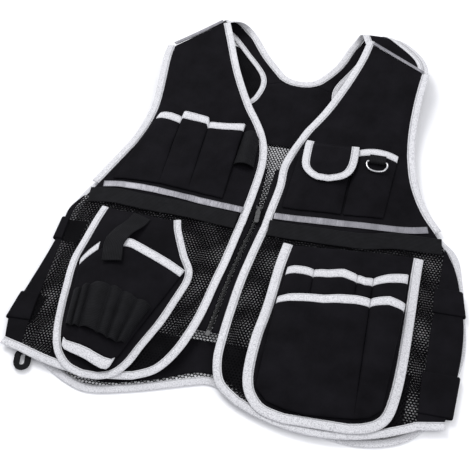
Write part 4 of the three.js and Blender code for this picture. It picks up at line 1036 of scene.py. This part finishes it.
def tooth_row(centre, pitch, width, length, height, low):
    """One mesh of many teeth: an eight-point rounded section, repeated along the zip."""
    count = int(np.linalg.norm(np.diff(centre, axis=0), axis=1).sum() / pitch)
    path = at_shares(centre, np.linspace(0, 1, count))
    way, out = unit_ways(path)
    ring = np.array([[-1, 0.0], [-0.8, 0.7], [-0.3, 1], [0.3, 1], [0.8, 0.7], [1, 0.0], [0.6, -0.8],
                     [-0.6, -0.8]])
    shift = np.where(np.arange(count) % 2, 0.35, -0.35)
    points = []
    for end in (-0.5, 0.5):
        base = path[:, None] + way[:, None] * end * length * pitch / 2.5
        plan = base + out[:, None] * (ring[None, :, :1] * width / 2 + shift[:, None, None])
        z = front_under(plan[:, :, 0], plan[:, :, 1]) + low + height / 2 + ring[None, :, 1] * height / 2
        points.append(np.concatenate([plan, z[..., None]], axis=-1))
    starts = np.arange(count) * 16
    k = np.arange(8)
    walls = np.stack([k, (k + 1) % 8, (k + 1) % 8 + 8, k + 8], axis=-1)
    faces = (starts[:, None, None] + walls[None]).reshape(-1, 4).tolist()
    for s in starts:
        faces.append([int(s + i) for i in range(7, -1, -1)])
        faces.append([int(s + 8 + i) for i in range(8)])
    mesh = new_mesh("zip_teeth", np.stack(points, axis=1), faces, False)
    mesh.uv_layers.new(name="cloth")
    add_piece("zip_teeth_row", mesh, "zip", "vest", ["zip_teeth"])


tooth_row(spline(ZIP_CENTRE, 120), pitch=2.3, width=4.4, length=1.7, height=1.8, low=ZIP_LOW)


# Ring: a round wire along the same closed outline

def ring_wire():
    """Tube of 16 sides along the closed D outline, tilted down onto the pocket."""
    table = np.array(RING_OUTLINE) * [RING_HALF, RING_DEPTH]
    count = len(table)
    t = np.linspace(0, count, 12 * count, endpoint=False)
    i = t.astype(int)
    w = (t - i)[:, None]
    path = curve_point(*(table[(i + k) % count] for k in (-1, 0, 1, 2)), w)
    way = np.roll(path, -1, axis=0) - np.roll(path, 1, axis=0)
    way /= np.linalg.norm(way, axis=1)[:, None]
    out = np.column_stack([way[:, 1], -way[:, 0]])
    angle = np.linspace(0, 2 * math.pi, 16, endpoint=False)
    plan = path[:, None] + out[:, None] * (np.cos(angle) * RING_WIRE / 2)[None, :, None]
    z = np.broadcast_to(np.sin(angle) * RING_WIRE / 2, plan.shape[:2])
    y = plan[:, :, 1] * math.cos(RING_TILT) - z * math.sin(RING_TILT)
    up = plan[:, :, 1] * math.sin(RING_TILT) + z * math.cos(RING_TILT)
    points = np.stack([plan[:, :, 0] + RING_PIVOT[0], y + RING_PIVOT[1], up + RING_PIVOT[2]], axis=-1)
    ids = np.arange(len(path) * 16).reshape(-1, 16)
    after, side = np.roll(ids, -1, axis=0), np.roll(ids, -1, axis=1)
    faces = np.stack([ids, after, np.roll(after, -1, axis=1), side], axis=-1).reshape(-1, 4)
    mesh = new_mesh("ring_wire", points, faces.tolist())
    add_piece("ring_wire", mesh, "metal", "ring", ["d_ring"])


RING_HALF, RING_DEPTH, RING_WIRE, RING_TILT = 13.8, 15.5, 2.6, 0.08
ring_hinge = next(joint for joint in frame["joints"] if joint["name"] == "ring_hinge")
RING_PIVOT = [value * 1000 for value in ring_hinge["pos_m"]]
ring_wire()

# Frame nodes that stay as they are get their finish
KEPT = {"zip_slider": "zip_metal", "zip_pull": "zip_metal", "zip_stop": "zip_metal",
        "ring_tab": "webbing", "hook_loop": "webbing"}
for name, slot in KEPT.items():
    node = frame["nodes"][name]
    node.data.materials.clear()
    node.data.materials.append(MATERIALS["plain:" + slot])


# Floor, light and camera, in metres

FLOOR_REACH = 6.0
FLOOR_LEVEL = -0.0004


def floor():
    """Wide pale floor under the vest."""
    g = Graph("pale_floor")
    tone = g.ramp(g.noise(1.5, 2), (0.3, (0.8, 0.8, 0.815)), (0.7, (0.83, 0.83, 0.845)))
    material = g.finish(tone, 0.9)
    mesh = bpy.data.meshes.new("floor")
    corners = ((-1, -1), (1, -1), (1, 1), (-1, 1))
    points = [(FLOOR_REACH * x, FLOOR_REACH * y, FLOOR_LEVEL) for x, y in corners]
    mesh.from_pydata(points, [], [(0, 1, 2, 3)])
    mesh.materials.append(material)
    add_object("floor", mesh)


def area_light(name, place, size, power):
    """Square light aimed at the middle of the vest."""
    light = bpy.data.lights.new(name, "AREA")
    light.shape = "SQUARE"
    light.size = size
    light.energy = power
    obj = add_object(name, light)
    obj.location = place
    obj.rotation_euler = (-Vector(place)).to_track_quat("-Z", "Y").to_euler()


floor()
area_light("key", (-0.9, 0.9, 1.6), 0.9, 24)
area_light("fill", (1.2, -0.6, 1.5), 1.4, 12)
world = bpy.data.worlds.new("studio")
world.use_nodes = True
sky = world.node_tree.nodes["Background"].inputs
sky[0].default_value = (0.95, 0.96, 1.0, 1)
sky[1].default_value = 0.9
bpy.context.scene.world = world
bpy.context.scene.view_settings.view_transform = "Standard"

AZIMUTH, ELEVATION, DISTANCE = math.radians(11.2), math.radians(53), 1.35
back = Vector((math.sin(AZIMUTH) * math.cos(ELEVATION), -math.cos(AZIMUTH) * math.cos(ELEVATION),
               math.sin(ELEVATION)))
lens = bpy.data.cameras.new("camera")
lens.sensor_width = 36
lens.lens = 36 * 1040 / 470
camera = add_object("camera", lens)
camera.location = Vector((-0.024, -0.02, 0)) + back * DISTANCE
camera.rotation_euler = (-back).to_track_quat("-Z", "Y").to_euler()
bpy.context.scene.camera = camera
